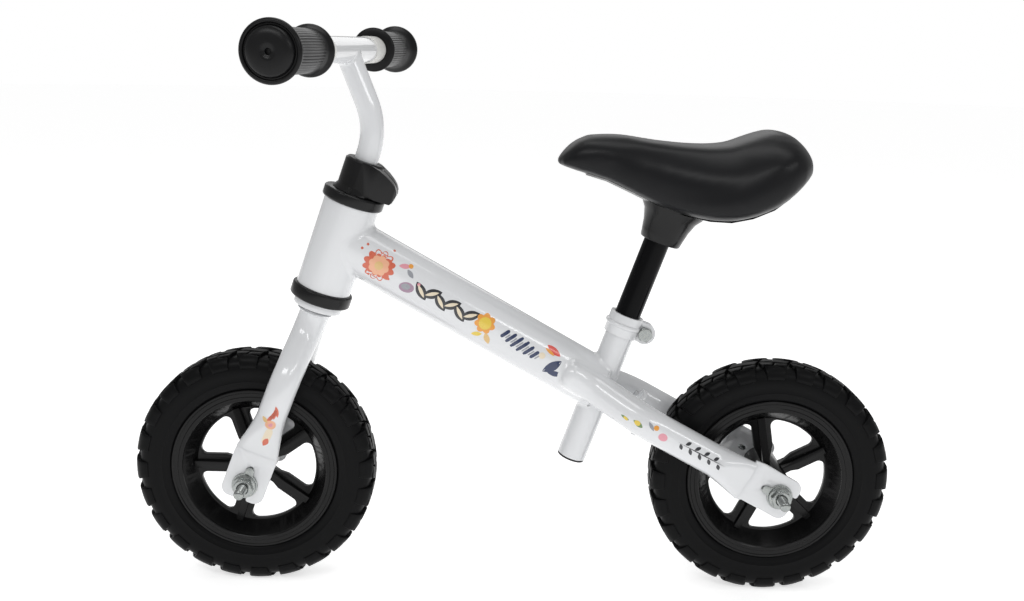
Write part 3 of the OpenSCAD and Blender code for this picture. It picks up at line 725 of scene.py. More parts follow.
@dataclass(frozen=True)
class Finish:
    """A finish: its colour, gloss, relief and coat."""

    name: str
    colour: tuple[float, float, float]
    gloss: float
    metal: float = 0.0
    depth: float = 0.1
    tone_scale: float = 9.0
    gloss_change: float = 0.08
    pebble_scale: float = 700.0
    speckle_scale: float = 1400.0
    pebble_share: float = 0.5
    relief: float = 0.15
    relief_depth: float = 0.05
    coat: float = 0.0
    coat_roughness: float = 0.05
    sheen: float = 0.0
    specular: float = 0.5
    glow: float = 0.0
    fleck: Optional[tuple[float, float, float]] = None

    def material(self) -> bpy.types.Material:
        """The material, made the first time it is asked for."""
        name = f"look_{self.name}"
        old = bpy.data.materials.get(name)
        if old is not None:
            return old
        made = bpy.data.materials.new(name)
        made.use_nodes = True
        n, link = made.node_tree.nodes, made.node_tree.links.new
        shader = n["Principled BSDF"]
        for socket, value in (("Metallic", self.metal), ("Coat Weight", self.coat),
                              ("Coat Roughness", self.coat_roughness),
                              ("Sheen Weight", self.sheen), ("Specular IOR Level", self.specular)):
            shader.inputs[socket].default_value = value
        if self.glow:
            shader.inputs["Emission Color"].default_value = (1, 1, 1, 1)
            shader.inputs["Emission Strength"].default_value = self.glow
        tone = n.new("ShaderNodeGroup")
        tone.node_tree = Effect.mottle()
        for socket, value in (("Depth", self.depth), ("Scale", self.tone_scale), ("Gloss", self.gloss),
                              ("Gloss change", self.gloss_change)):
            tone.inputs[socket].default_value = value
        self._colour(n, link, tone)
        link(tone.outputs["Colour"], shader.inputs["Base Color"])
        link(tone.outputs["Roughness"], shader.inputs["Roughness"])
        relief = n.new("ShaderNodeGroup")
        relief.node_tree = Effect.grain()
        for socket, value in (("Pebble scale", self.pebble_scale), ("Speckle scale", self.speckle_scale),
                              ("Pebble share", self.pebble_share)):
            relief.inputs[socket].default_value = value
        bump = n.new("ShaderNodeBump")
        bump.inputs["Strength"].default_value = self.relief
        bump.inputs["Distance"].default_value = self.relief_depth * MM
        link(relief.outputs["Height"], bump.inputs["Height"])
        link(bump.outputs["Normal"], shader.inputs["Normal"])
        return made

    def _colour(self, n: bpy.types.Nodes, link: Callable[..., object], tone: bpy.types.Node) -> None:
        """Sets the base colour of a finish, with flecks where it has them."""
        if self.fleck is None:
            tone.inputs["Colour"].default_value = (*self.colour, 1)
            return
        coord, noise, ramp = (
            n.new(kind) for kind in ("ShaderNodeTexCoord", "ShaderNodeTexNoise", "ShaderNodeValToRGB"))
        noise.inputs["Scale"].default_value = self.tone_scale * 14
        noise.inputs["Detail"].default_value = 5.0
        ramp.color_ramp.elements[0].position = 0.38
        ramp.color_ramp.elements[0].color = (*self.colour, 1)
        ramp.color_ramp.elements[1].position = 0.72
        ramp.color_ramp.elements[1].color = (*self.fleck, 1)
        link(coord.outputs["Object"], noise.inputs["Vector"])
        link(noise.outputs["Fac"], ramp.inputs["Fac"])
        link(ramp.outputs["Color"], tone.inputs["Colour"])


WHITE = Finish("gloss_white_paint", (0.72, 0.73, 0.745), 0.22, depth=0.03, tone_scale=5, gloss_change=0.06,
               pebble_scale=120, speckle_scale=260, pebble_share=0.3, relief=0.06, relief_depth=0.06,
               coat=0.9, coat_roughness=0.05)
TUBE_BLACK = Finish("gloss_black_paint", (0.0035, 0.0035, 0.004), 0.16, depth=0.2, pebble_scale=140,
                    speckle_scale=300,
                    relief=0.05, relief_depth=0.05, specular=0.08)
ZINC = Finish("zinc_plate", (0.26, 0.28, 0.29), 0.24, metal=1.0, depth=0.5, tone_scale=110, gloss_change=0.3,
              pebble_scale=900, speckle_scale=2200, relief=0.3, relief_depth=0.04, fleck=(0.46, 0.47, 0.43))
STEEL_DARK = Finish("dull_steel", (0.16, 0.17, 0.18), 0.42, metal=1.0, depth=0.2, tone_scale=40, relief=0.2)
FOAM = Finish("tyre_foam", (0.0032, 0.0033, 0.0036), 0.40, depth=0.4, tone_scale=30, gloss_change=0.18,
              pebble_scale=700,
              speckle_scale=1300, pebble_share=0.35, relief=0.22, relief_depth=0.05, specular=0.10)
WHEEL = Finish("moulded_black", (0.0035, 0.0035, 0.0037), 0.25, depth=0.3, tone_scale=25, gloss_change=0.12,
               pebble_scale=600,
               speckle_scale=900, pebble_share=0.4, relief=0.10, relief_depth=0.02, specular=0.22)
PLASTIC = Finish("satin_black_plastic", (0.0045, 0.0045, 0.0048), 0.24, depth=0.25, tone_scale=40,
                 gloss_change=0.10,
                 pebble_scale=600, speckle_scale=1000, relief=0.10, relief_depth=0.02, specular=0.28)
RUBBER = Finish("grip_rubber", (0.0042, 0.0042, 0.0046), 0.33, depth=0.3, tone_scale=60, gloss_change=0.12,
                pebble_scale=700,
                speckle_scale=1100, relief=0.16, relief_depth=0.03, specular=0.22)
VINYL = Finish("saddle_vinyl", (0.0040, 0.0042, 0.0052), 0.36, depth=0.25, tone_scale=14, gloss_change=0.08,
               pebble_scale=950,
               speckle_scale=1900, pebble_share=0.8, relief=0.26, relief_depth=0.09, sheen=0.02,
               specular=0.22)
PALE = Finish("pale_sleeve", (0.74, 0.735, 0.71), 0.4, depth=0.06, tone_scale=30, relief=0.12)


class Ink(Enum):
    """Colours of the printed graphics."""

    CORAL = (0.62, 0.13, 0.07)
    PEACH = (0.80, 0.42, 0.26)
    SAND = (0.70, 0.47, 0.20)
    GREY = (0.30, 0.31, 0.34)
    MAUVE = (0.34, 0.22, 0.30)
    PINK = (0.72, 0.30, 0.36)
    CHARCOAL = (0.022, 0.023, 0.028)
    ORANGE = (0.78, 0.33, 0.05)
    YELLOW = (0.76, 0.56, 0.07)
    NAVY = (0.016, 0.03, 0.09)
    GREEN = (0.14, 0.24, 0.08)
    RED = (0.66, 0.07, 0.05)
    CREAM = (0.76, 0.66, 0.50)

    @property
    def finish(self) -> Finish:
        """The printed film in this colour."""
        return Finish(f"print_{self.name.lower()}", self.value, 0.28, depth=0.06, tone_scale=40, relief=0.05,
                      pebble_scale=200, speckle_scale=400, coat=0.6, coat_roughness=0.1)


# ---------------------------------------------------------------- studio


@dataclass(frozen=True)
class Studio:
    """Camera, floor and lights."""

    camera_at: tuple[float, float, float] = (0.00827, 1.07421, 0.54370)
    yaw: float = -0.21
    pitch: float = 13.01
    roll: float = 1.33
    lens: float = 39.35
    sensor: float = 36.0
    floor_rings: tuple[float, ...] = (0, 1500, 4000, 8000, 12000)
    floor_height: float = -0.2
    aim: tuple[float, float, float] = (0, 0, 0.28)

    def camera(self) -> bpy.types.Object:
        """Makes the camera and sets it as the scene's."""
        y, p, r = (math.radians(a) for a in (self.yaw, self.pitch, self.roll))
        ahead = Vector((math.sin(y) * math.cos(p), -math.cos(y) * math.cos(p), -math.sin(p)))
        right = Vector((-math.cos(y), -math.sin(y), 0))
        up = right.cross(ahead)
        right, up = right * math.cos(r) + up * math.sin(r), up * math.cos(r) - right * math.sin(r)
        data = bpy.data.cameras.new("camera")
        data.lens, data.sensor_width, data.sensor_fit = self.lens, self.sensor, "HORIZONTAL"
        data.clip_start, data.clip_end = 0.05, 30
        made = linked("camera", data)
        turn = Matrix((right, up, -ahead)).transposed().to_4x4()
        turn.translation = Vector(self.camera_at)
        made.matrix_world = turn
        bpy.context.scene.camera = made
        return made

    def floor(self) -> bpy.types.Object:
        """Makes a wide pale floor that the whole bike stands on."""
        shell = Shell()
        shell.lathe([(r, self.floor_height) for r in self.floor_rings], Matrix.Identity(4), count=64)
        made = shell.build("floor", [Finish("studio_floor", (0.92, 0.92, 0.92), 0.8, depth=0.01, relief=0.02,
                                            glow=0.62)])
        for face in made.data.polygons:
            if face.normal.z < 0:
                face.flip()
        return made

    def light(self, name: str, at: tuple[float, float, float], size: tuple[float, float],
              power: float) -> bpy.types.Object:
        """Makes one soft box light that faces the bike.

        Args:
            name: name of the light.
            at: its place in metres.
            size: width and height in metres.
            power: power in watts.

        Returns:
            The light object.
        """
        data = bpy.data.lights.new(name, "AREA")
        data.shape, data.size, data.size_y, data.energy = "RECTANGLE", size[0], size[1], power
        made = linked(name, data)
        made.location = at
        made.rotation_euler = (Vector(self.aim) - Vector(at)).to_track_quat("-Z", "Y").to_euler()
        return made

    def world(self, strength: float) -> None:
        """Sets an even white surround that lights the bike less than it shows.

        Args:
            strength: how brightly the surround lights the bike.
        """
        world = bpy.data.worlds.new("surround")
        world.use_nodes = True
        n, link = world.node_tree.nodes, world.node_tree.links.new
        back, path, level = n["Background"], n.new("ShaderNodeLightPath"), n.new("ShaderNodeMapRange")
        back.inputs["Color"].default_value = (1, 1, 1, 1)
        level.inputs["To Min"].default_value = strength
        level.inputs["To Max"].default_value = 1.0
        link(path.outputs["Is Camera Ray"], level.inputs["Value"])
        link(level.outputs["Result"], back.inputs["Strength"])
        bpy.context.scene.world = world
        bpy.context.scene.view_settings.view_transform = "Standard"

    def build(self) -> None:
        """Makes the whole studio."""
        self.camera()
        self.floor()
        self.light("key", (0.7, 1.5, 1.8), (1.5, 0.35), 9)
        self.light("strip", (-1.2, 1.3, 1.3), (1.2, 0.2), 4)
        self.light("top", (-0.1, -0.1, 2.1), (2.0, 0.6), 8)
        self.light("back", (0.2, -1.9, 1.3), (2.0, 0.8), 4)
        self.world(0.40)


# ---------------------------------------------------------------- wheels


@dataclass
class Wheel:
    """One foam-tyred moulded wheel."""

    name: str
    body: str
    centre: Vector
    blocks: int = 24
    tread: float = 3.5
    blocks_half: float = 26.0

    @property
    def place(self) -> Matrix:
        """Local frame: Z along the axle to the left."""
        return Matrix.Translation(self.centre) @ Matrix.Rotation(math.radians(-90), 4, "X")

    def outline(self) -> list[Point]:
        """Half outline of the tyre's carcass in millimetres, from the tread's middle to the rim."""
        top = LAY.wheel_r - self.tread
        lip = LAY.rim_lip_r
        return [(top, 0.0), (top, 6.0), (top - 0.25, 10.6), (top - 1.1, 13.9), (top - 3.0, 16.9),
                (top - 5.6, 18.9),
                (top - 9.0, 20.4), (top - 14.0, 21.2), (top - 18.0, 21.2), (lip + 9.6, 20.7),
                (lip + 8.9, 20.95),
                (lip + 8.2, 20.5), (lip + 4.5, 19.9), (lip + 1.6, 19.0), (lip + 0.25, 17.6),
                (lip - 0.4, 16.2)]

    def surface(self, q: float) -> tuple[float, float, float, float]:
        """A point of the carcass at an arc length from the tread's middle.

        Args:
            q: arc length across the tyre in millimetres, negative to the right.

        Returns:
            Radius, height, and the outward direction's radial and axial parts.
        """
        side = 1.0 if q >= 0 else -1.0
        left, pts = abs(q), self.outline()
        for (r0, y0), (r1, y1) in zip(pts, pts[1:]):
            d = math.hypot(r1 - r0, y1 - y0)
            if left <= d or (r1, y1) == pts[-1]:
                t = left / d
                n = Vector((y1 - y0, r0 - r1)).normalized()
                return r0 + (r1 - r0) * t, side * (y0 + (y1 - y0) * t), n.x, side * n.y
            left -= d
        return pts[-1][0], side * pts[-1][1], 1.0, 0.0

    def carcass(self) -> bpy.types.Object:
        """Makes the tyre's body."""
        half = self.outline()
        bead = [(LAY.rim_lip_r - 6.2, LAY.rim_width / 2 - 5.2)]
        profile = half + bead + [(r, -y) for r, y in reversed(bead)] + [(r, -y) for r,
                y in reversed(half[1:])]
        shell = Shell()
        shell.lathe(profile, self.place, count=192, loop=True)
        return shell.build(f"{self.name}_tyre_body", [FOAM], smooth=50)

    def block(self, corners: Sequence[Point], shell: Shell, grid: int = 5) -> None:
        """Adds one tread block to a mesh at the wheel's first place.

        Args:
            corners: four (arc along, arc across) corners in millimetres.
            shell: mesh that takes the block.
            grid: facets along each side.
        """
        height = self.tread

        def spot(u: float, v: float, inset: float, h: float) -> Vector:
            a, b, c, d = (Vector(p) for p in corners)
            mid = (a + b + c + d) / 4
            p = a.lerp(b, u).lerp(d.lerp(c, u), v)
            away = p - mid
            if away.length > 1e-6:
                p = p - away.normalized() * inset
            r, y, nr, ny = self.surface(p.y)
            drop = min(height - 0.7, max(0.0, abs(p.y) - 14.5) * 0.22)
            lift = h - (drop if h > 0 else 0)
            r, y = r + nr * lift, y + ny * lift
            t = p.x / LAY.wheel_r
            return Vector((r * math.cos(t), r * math.sin(t), y)) * MM

        edge = [(i / grid, 0) for i in range(grid)] + [(1, i / grid) for i in range(grid)]
        edge += [(1 - i / grid, 1) for i in range(grid)] + [(0, 1 - i / grid) for i in range(grid)]
        rings = [shell.ring(spot(u, v, inset, h) for u, v in edge)
                 for inset, h in ((-0.55, -0.6), (-0.1, height - 0.75), (0.12, height - 0.25),
                                  (0.75, height))]
        for a, b in zip(rings, rings[1:]):
            shell.bridge(a, b)
        top = {}
        for i in range(grid + 1):
            for j in range(grid + 1):
                u, v = i / grid, j / grid
                if (u, v) in edge:
                    top[i, j] = rings[-1][edge.index((u, v))]
                else:
                    top[i, j] = shell.ring([spot(u, v, 0.75, height)])[0]
        for i in range(grid):
            for j in range(grid):
                shell.face((top[i, j], top[i + 1, j], top[i + 1, j + 1], top[i, j + 1]))

    def pitch(self) -> bpy.types.Object:
        """Makes the group of blocks that repeats round the tyre."""
        step = 2 * math.pi * LAY.wheel_r / self.blocks
        shell = Shell()
        g, edge = 1.25, self.blocks_half
        k = step / 2
        # two interlocking middle blocks, then a shoulder block on each side, a half step apart
        self.block([(-k + g, -1.0), (k - g - 4, -7.6), (k - g + 1, 0.6), (-k + g + 5, 7.2)], shell)
        for side, shift in ((1, 0.0), (-1, k)):
            inner = [(-k + g + 4 + shift, side * 8.6), (2.0 + shift, side * 8.6), (4.5 + shift, side * 13.2),
                     (-k + g + 6 + shift, side * 13.2)]
            outer = [(-k + g + 7 + shift, side * 14.6), (k - g - 1 + shift, side * 12.4),
                     (k - g - 3 + shift, side * edge), (-k + g + 8 + shift, side * edge)]
            spur = [(3.4 + shift, side * 6.2), (k - g + 2.5 + shift, side * 3.6),
                    (k - g + 1.0 + shift, side * 10.8), (5.8 + shift, side * 12.2)]
            for quad in (inner, outer, spur):
                self.block(quad, shell)
        return shell.build(f"{self.name}_tread_pitch", [FOAM], smooth=42)

    def tread_blocks(self) -> bpy.types.Object:
        """Repeats the group of blocks round the tyre with a node tree."""
        source = self.pitch()
        holder = Repeater(self.blocks).ring(f"{self.name}_tread", source, FOAM)
        for v in holder.data.vertices:
            v.co = self.place @ v.co
        shade(holder.data, 42)
        bpy.data.objects.remove(source)
        return holder

    def lip_rings(self) -> bpy.types.Object:
        """Makes the stepped lip rings of the rim, both sides."""
        lip, half = LAY.rim_lip_r, LAY.rim_width / 2
        shell = Shell()
        for side in (1, -1):
            profile = [(lip - 0.15, half - 2.0), (lip - 0.1, half + 0.1), (lip - 0.8, half + 0.8),
                       (lip - 2.6, half + 0.9), (lip - 3.3, half + 0.2),
                       (lip - 6.8, half + 0.05), (lip - 7.4, half + 0.7), (lip - 10.4, half + 0.75),
                       (lip - 11.35, half + 0.1), (lip - 11.8, half - 2.2),
                       (lip - 10.5, half - 2.4)]
            shell.lathe([(r, side * y) for r, y in profile], self.place, count=160, loop=True)
        return shell.build(f"{self.name}_lip_rings", [WHEEL], smooth=35)

    def build(self) -> None:
        """Makes the wheel's pieces and sets them on its body."""
        tyre = join(f"{self.name}_tyre_foam", [self.carcass(), self.tread_blocks()], 44)
        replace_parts(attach(tyre, self.body), f"{self.name}_tyre")
        rim = softened(f"{self.name}_rim", WHEEL, width=0.8, segments=2, angle=30)
        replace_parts(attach(rim, self.body), f"{self.name}_rim")
        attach(self.lip_rings(), self.body)
        for side in ("left", "right"):
            dress(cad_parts[f"{self.name}_{side}_bearing"], STEEL_DARK)
        log.info("%s wheel: tyre %d faces", self.name, len(tyre.data.polygons))


@dataclass
class Repeater:
    """A node tree that repeats a mesh by equal turns about local Z."""

    count: int

    def ring(self, name: str, source: bpy.types.Object, finish: Finish) -> bpy.types.Object:
        """Repeats a mesh in a ring.

        Args:
            name: name of the result.
            source: object whose mesh is repeated.
            finish: finish of every copy.

        Returns:
            A plain mesh object with all the copies.
        """
        tree = bpy.data.node_groups.new(f"{name}_ring", "GeometryNodeTree")
        tree.interface.new_socket(name="Geometry", in_out="INPUT", socket_type="NodeSocketGeometry")
        count_in = tree.interface.new_socket(name="Count", in_out="INPUT", socket_type="NodeSocketInt")
        piece_in = tree.interface.new_socket(name="Piece", in_out="INPUT", socket_type="NodeSocketObject")
        finish_in = tree.interface.new_socket(name="Finish", in_out="INPUT", socket_type="NodeSocketMaterial")
        tree.interface.new_socket(name="Geometry", in_out="OUTPUT", socket_type="NodeSocketGeometry")
        n, link = tree.nodes, tree.links.new
        gin, gout = n.new("NodeGroupInput"), n.new("NodeGroupOutput")
        points = n.new("GeometryNodePoints")
        link(gin.outputs["Count"], points.inputs["Count"])
        info = n.new("GeometryNodeObjectInfo")
        link(gin.outputs["Piece"], info.inputs["Object"])
        index = n.new("GeometryNodeInputIndex")
        share = math_node(n, "DIVIDE")
        link(index.outputs[0], share.inputs[0])
        link(gin.outputs["Count"], share.inputs[1])
        turn = math_node(n, "MULTIPLY")
        turn.inputs[1].default_value = 2 * math.pi
        link(share.outputs[0], turn.inputs[0])
        angle = n.new("ShaderNodeCombineXYZ")
        link(turn.outputs[0], angle.inputs["Z"])
        copies = n.new("GeometryNodeInstanceOnPoints")
        link(points.outputs[0], copies.inputs["Points"])
        link(info.outputs["Geometry"], copies.inputs["Instance"])
        link(angle.outputs[0], copies.inputs["Rotation"])
        real = n.new("GeometryNodeRealizeInstances")
        link(copies.outputs[0], real.inputs[0])
        coat = n.new("GeometryNodeSetMaterial")
        link(real.outputs[0], coat.inputs["Geometry"])
        link(gin.outputs["Finish"], coat.inputs["Material"])
        link(coat.outputs[0], gout.inputs[0])
        holder = linked(name, bpy.data.meshes.new(name))
        holder.data.materials.append(finish.material())
        mod = holder.modifiers.new("repeat", "NODES")
        mod.node_group = tree
        mod[count_in.identifier] = self.count
        mod[piece_in.identifier] = source
        mod[finish_in.identifier] = finish.material()
        settle(holder)
        return holder


# ---------------------------------------------------------------- fasteners


@dataclass
class Fastener:
    """Turned and forged hardware along one line."""

    place: Matrix

    def spot(self, radius: float, turn: float, height: float) -> Vector:
        """A point in the frame from sizes in millimetres about the line."""
        return self.place @ (polar(radius, turn, height) * MM)

    def hoop(self, radius: float, height: float, count: int) -> list[Vector]:
        """A plain ring of points about the line."""
        return [self.spot(radius, t, height) for t in turns(count)]

    def hex_head(self, flats: float, bottom: float, top: float, shell: Shell, bore: float = 0.0,
                 count: int = 72) -> None:
        """Adds a hexagon with chamfered corners.

        Args:
            flats: size across the flats in millimetres.
            bottom: height of the under face.
            top: height of the outer face.
            shell: mesh that takes it.
            bore: radius of the hole, or 0 for a solid head.
            count: points round it.
        """
        apothem, corner = flats / 2, flats / 2 / math.cos(math.pi / 6)
        tall = top - bottom

        def radius(t: float, limit: float) -> float:
            a = (t + math.pi / 6) % (math.pi / 3) - math.pi / 6
            return min(apothem / math.cos(a), limit)

        layers = [(corner - 0.9, bottom), (corner + 1, bottom + 0.5), (corner + 1, top - 0.13 * tall),
                  (corner - 0.6, top - 0.07 * tall),
                  (apothem - 0.1, top - 0.02 * tall), (apothem * 0.93, top)]
        rings = [[self.spot(radius(t, limit), t, z) for t in turns(count)] for limit, z in layers]
        if bore:
            for r, z in ((bore + 0.9, top), (bore, top - 0.9), (bore, bottom)):
                rings.append(self.hoop(r, z, count))
            shell.loft(rings, loop=True)
        else:
            rings.append(self.hoop(apothem * 0.5, top - 0.25, count))
            shell.loft(rings)

    def thread(self, radius: float, start: float, end: float, shell: Shell, pitch: float = 1.5,
               dome: bool = True) -> None:
        """Adds a threaded rod end.

        Args:
            radius: outer radius in millimetres.
            start: where the thread starts.
            end: where the rod ends.
            shell: mesh that takes it.
            pitch: thread pitch.
            dome: rounds the end over.
        """
        count, per = 40, 6
        steps = int((end - start - 2) / pitch) * per
        rings = []
        depth = 0.62
        for k in range(steps + 1):
            z = start + (end - start - 2) * k / steps
            ring = []
            for i in range(count):
                t = 2 * math.pi * i / count
                phase = ((z - start) / pitch - i / count) % 1.0
                cut = depth * (1 - abs(2 * phase - 1)) ** 0.8
                fade = smoothstep((end - 2.0 - z) / 1.2) if dome else 1.0
                r = radius - cut * fade - (1 - fade) * 0.15
                ring.append(self.spot(r, t, z))
            rings.append(ring)
        for r, z in ((radius - 0.5, end - 1.2), (radius - 1.4, end - 0.5), (radius - 2.6, end - 0.15),
                     (radius - 4.2, end)):
            rings.append(self.hoop(r, z, count))
        rings.insert(0, self.hoop(radius, start - 0.4, count))
        shell.loft(rings)

    def serrated(self, radius: float, bottom: float, top: float, shell: Shell, bore: float,
                 teeth: int = 36) -> None:
        """Adds a flange whose face carries radial teeth.

        Args:
            radius: outer radius in millimetres.
            bottom: height of the toothed face.
            top: height of the upper face.
            shell: mesh that takes it.
            bore: radius of the hole.
            teeth: number of teeth.
        """
        count = teeth * 4
        rings = []
        for r, z, wave in ((bore, bottom, 0.0), (radius - 0.4, bottom, 0.12), (radius, bottom + 0.3, 0.30),
                           (radius, (bottom + top) / 2, 0.30),
                           (radius - 0.5, top - 0.1, 0.2), (radius - 2.6, top + 0.7, 0.05),
                           (bore, top + 0.7, 0.0)):
            rings.append([self.spot(r - wave * (0.5 + 0.5 * math.cos(teeth * t)), t, z)
                          for t in turns(count)])
        shell.loft(rings, loop=True)


@dataclass
class AxleSet:
    """Axle, nuts, tab washers and spacers of one wheel."""

    name: str
    body: str
    centre: Vector

    def place(self, side: Side) -> Matrix:
        """Local frame at the axle's middle: Z outwards on one side."""
        return Matrix.Translation(self.centre) @ Matrix.Rotation(math.radians(-90 * side.value), 4, "X")

    def build(self) -> None:
        """Makes the axle hardware and sets it on its body."""
        nut_y = LAY.dropout_y + LAY.plate / 2 + 2.0
        shell = Shell()
        half = LAY.axle_length / 2
        for side in Side:
            Fastener(self.place(side)).thread(LAY.axle_d / 2, nut_y - 12, half, shell)
        shell.lathe([(0, -nut_y + 11), (4.9, -nut_y + 11), (4.9, nut_y - 11), (0, nut_y - 11)],
                    self.place(Side.LEFT), count=40)
        rod = shell.build(f"{self.name}_axle_rod", [ZINC], smooth=40)
        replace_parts(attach(rod, self.body), f"{self.name}_axle")
        for side in Side:
            word = side.name.lower()
            shell = Shell()
            fit = Fastener(self.place(side) @ Matrix.Rotation(math.radians(17 * side.value), 4, "Z"))
            fit.serrated(11.4, nut_y, nut_y + 2.2, shell, LAY.axle_d / 2 + 0.05)
            fit.hex_head(17.0, nut_y + 1.8, nut_y + 9.0, shell, bore=LAY.axle_d / 2 + 0.05)
            nut = shell.build(f"{self.name}_{word}_flange_nut", [ZINC], smooth=28)
            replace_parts(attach(nut, self.body), f"{self.name}_{word}_nut")
            washer = softened(f"{self.name}_{word}_tab_washer", ZINC, width=0.35)
            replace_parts(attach(washer, self.body), f"{self.name}_{word}_tab_washer")
            dress(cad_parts[f"{self.name}_{word}_spacer"], ZINC)
        log.info("%s axle set done", self.name)


# ---------------------------------------------------------------- painted steel


@dataclass
class FlatEndTube:
    """A bent tube squeezed flat into a slotted plate at its lower end."""

    name: str
    node: str
    body: str
    line: Line
    axle: Vector
    side: Side
    start: float
    step: float
    front_y: float
    lead: float
    radius: float
    bend: float
    tube_d: float
    reach: float = 36.0
    crimp: float = 34.0
    plate_width: float = 42.0
    tail: float = 16.0
    round_front: bool = False

    def ring(self, z: float, y: float, heading: float, width: float, thick: float, corner: float,
             count: int = 56) -> list[Vector]:
        """One cross-section of the tube.

        Args:
            z: distance along the line in millimetres.
            y: distance from the middle plane.
            heading: angle of the route in radians.
            width: size in side view.
            thick: size from side to side.
            corner: corner radius.
            count: number of points.

        Returns:
            Points of the section, in metres.
        """
        base = self.line.place()
        out = []
        for a, b in rounded_box(width, thick, corner, count):
            p = Vector((a, y + b * math.cos(heading), z - b * math.sin(heading))) * MM
            w = base @ p
            out.append(Vector((w.x, w.y * self.side.value, w.z)))
        return out

    def tube(self) -> bpy.types.Object:
        """Makes the tube with its squeezed end."""
        total = (self.axle - self.line.start).length / MM
        depth = total - self.start - self.reach - self.crimp
        rows = dogleg(self.lead, self.radius, self.bend, self.step, depth)
        rings = []
        if self.round_front:
            z0, y0, _ = rows[0]
            for t in (85, 70, 55, 40, 25, 10):
                a = math.radians(t)
                d = self.tube_d * math.cos(a)
                rings.append(self.ring(self.start + z0 - self.tube_d / 2 * math.sin(a) * 0.8,
                                       self.front_y + y0, 0, d, d, d / 2))
        for z, y, h in rows:
            rings.append(self._section(z, y, h, 0.0))
        steps = 18
        for k in range(1, steps + 1):
            rings.append(self._section(depth + self.crimp * k / steps, self.step, 0.0, k / steps))
        for d, drop in ((0.9, 0.5), (5.0, 1.2), (6.0, 2.2)):
            w = self.plate_width - 2 * drop
            shift = LAY.dropout_y - self.front_y
            rings.append(self.ring(self.start + depth + self.crimp + d, self.front_y + shift, 0, w,
                                   LAY.plate - 0.5 - drop * 0.6, (LAY.plate - 0.5) / 2))
        shell = Shell()
        shell.loft(rings)
        return shell.build(f"{self.name}_tube", [WHITE], smooth=60)

    def _section(self, z: float, y: float, heading: float, flat: float) -> list[Vector]:
        """A section part of the way from round to flat."""
        width = self.tube_d + (self.plate_width - 0.4 - self.tube_d) * flat ** 1.35
        thick = self.tube_d + (LAY.plate + 5.0 - self.tube_d) * smoothstep(flat * 0.9) / smoothstep(0.9)
        shift = (LAY.dropout_y - (self.front_y + self.step)) * flat
        return self.ring(self.start + z, self.front_y + y + shift, heading, width, thick, thick / 2)

    def plate_outline(self) -> list[Point]:
        """Outline of the slotted plate, with the slot open at its tail."""
        w, r, slot = self.plate_width / 2, 9.0, LAY.axle_d / 2 + 0.5
        pts: list[Point] = [(-w + 1.0, -self.reach - 2), (-w, -self.reach + 6)]
        pts += [(-w + r - r * math.cos(math.radians(a)), self.tail - r + r * math.sin(math.radians(a)))
                for a in range(0, 91, 15)]
        pts += [(-slot - 2.0, self.tail), (-slot - 0.6, self.tail - 0.6), (-slot, self.tail - 2)]
        pts += [(slot * math.cos(math.radians(a)), slot * math.sin(math.radians(a)))
                for a in range(180, 361, 15)]
        pts += [(slot, self.tail - 2), (slot + 0.6, self.tail - 0.6), (slot + 2.0, self.tail)]
        pts += [(w - r + r * math.sin(math.radians(a)), self.tail - r + r * math.cos(math.radians(a)))
                for a in range(0, 91, 15)]
        pts += [(w, -self.reach + 6), (w - 1.0, -self.reach - 2)]
        return pts

    def plate(self) -> bpy.types.Object:
        """Makes the slotted plate with its locating hole."""
        place = Line(self.axle, self.line.along).place()
        work = bmesh.new()
        outer = [work.verts.new((x, 0, y)) for x, y in self.plate_outline()]
        turns = [2 * math.pi * (i + 0.5) / 24 for i in range(24)]
        hole = [work.verts.new((2.5 * math.cos(a), 0, -15.8 + 2.5 * math.sin(a)
                                + (1.6 if a < math.pi else -1.6))) for a in turns]
        edges = [work.edges.new((ring[i], ring[(i + 1) % len(ring)])) for ring in (outer, hole)
                 for i in range(len(ring))]
        bmesh.ops.triangle_fill(work, use_beauty=True, use_dissolve=False, edges=edges)
        lone = [f for f in work.faces if all(v in hole for v in f.verts)]
        bmesh.ops.delete(work, geom=lone, context="FACES_ONLY")
        bmesh.ops.dissolve_limit(work, angle_limit=0.01, verts=[],
                                 edges=[e for e in work.edges if len(e.link_faces) == 2])
        grown = bmesh.ops.extrude_face_region(work, geom=list(work.faces))
        for v in (g for g in grown["geom"] if isinstance(g, bmesh.types.BMVert)):
            v.co.y += LAY.plate
        for v in work.verts:
            v.co = place @ Vector((v.co.x * MM, (v.co.y + LAY.dropout_y - LAY.plate / 2) * MM, v.co.z * MM))
            v.co.y *= self.side.value
        bmesh.ops.recalc_face_normals(work, faces=work.faces)
        mesh = bpy.data.meshes.new(f"{self.name}_plate")
        work.to_mesh(mesh)
        work.free()
        piece = linked(mesh.name, mesh)
        dress(piece, WHITE)
        bevel = piece.modifiers.new("round", "BEVEL")
        bevel.width, bevel.segments = 0.6 * MM, 2
        bevel.limit_method, bevel.angle_limit = "ANGLE", math.radians(40)
        settle(piece)
        shade(piece.data, 30)
        return piece

    def build(self) -> bpy.types.Object:
        """Makes the whole member and sets it on its body."""
        piece = join(f"{self.name}_painted", [self.tube(), self.plate()], 40)
        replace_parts(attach(piece, self.body), self.node)
        log.info("%s: %d faces", self.name, len(piece.data.polygons))
        return piece


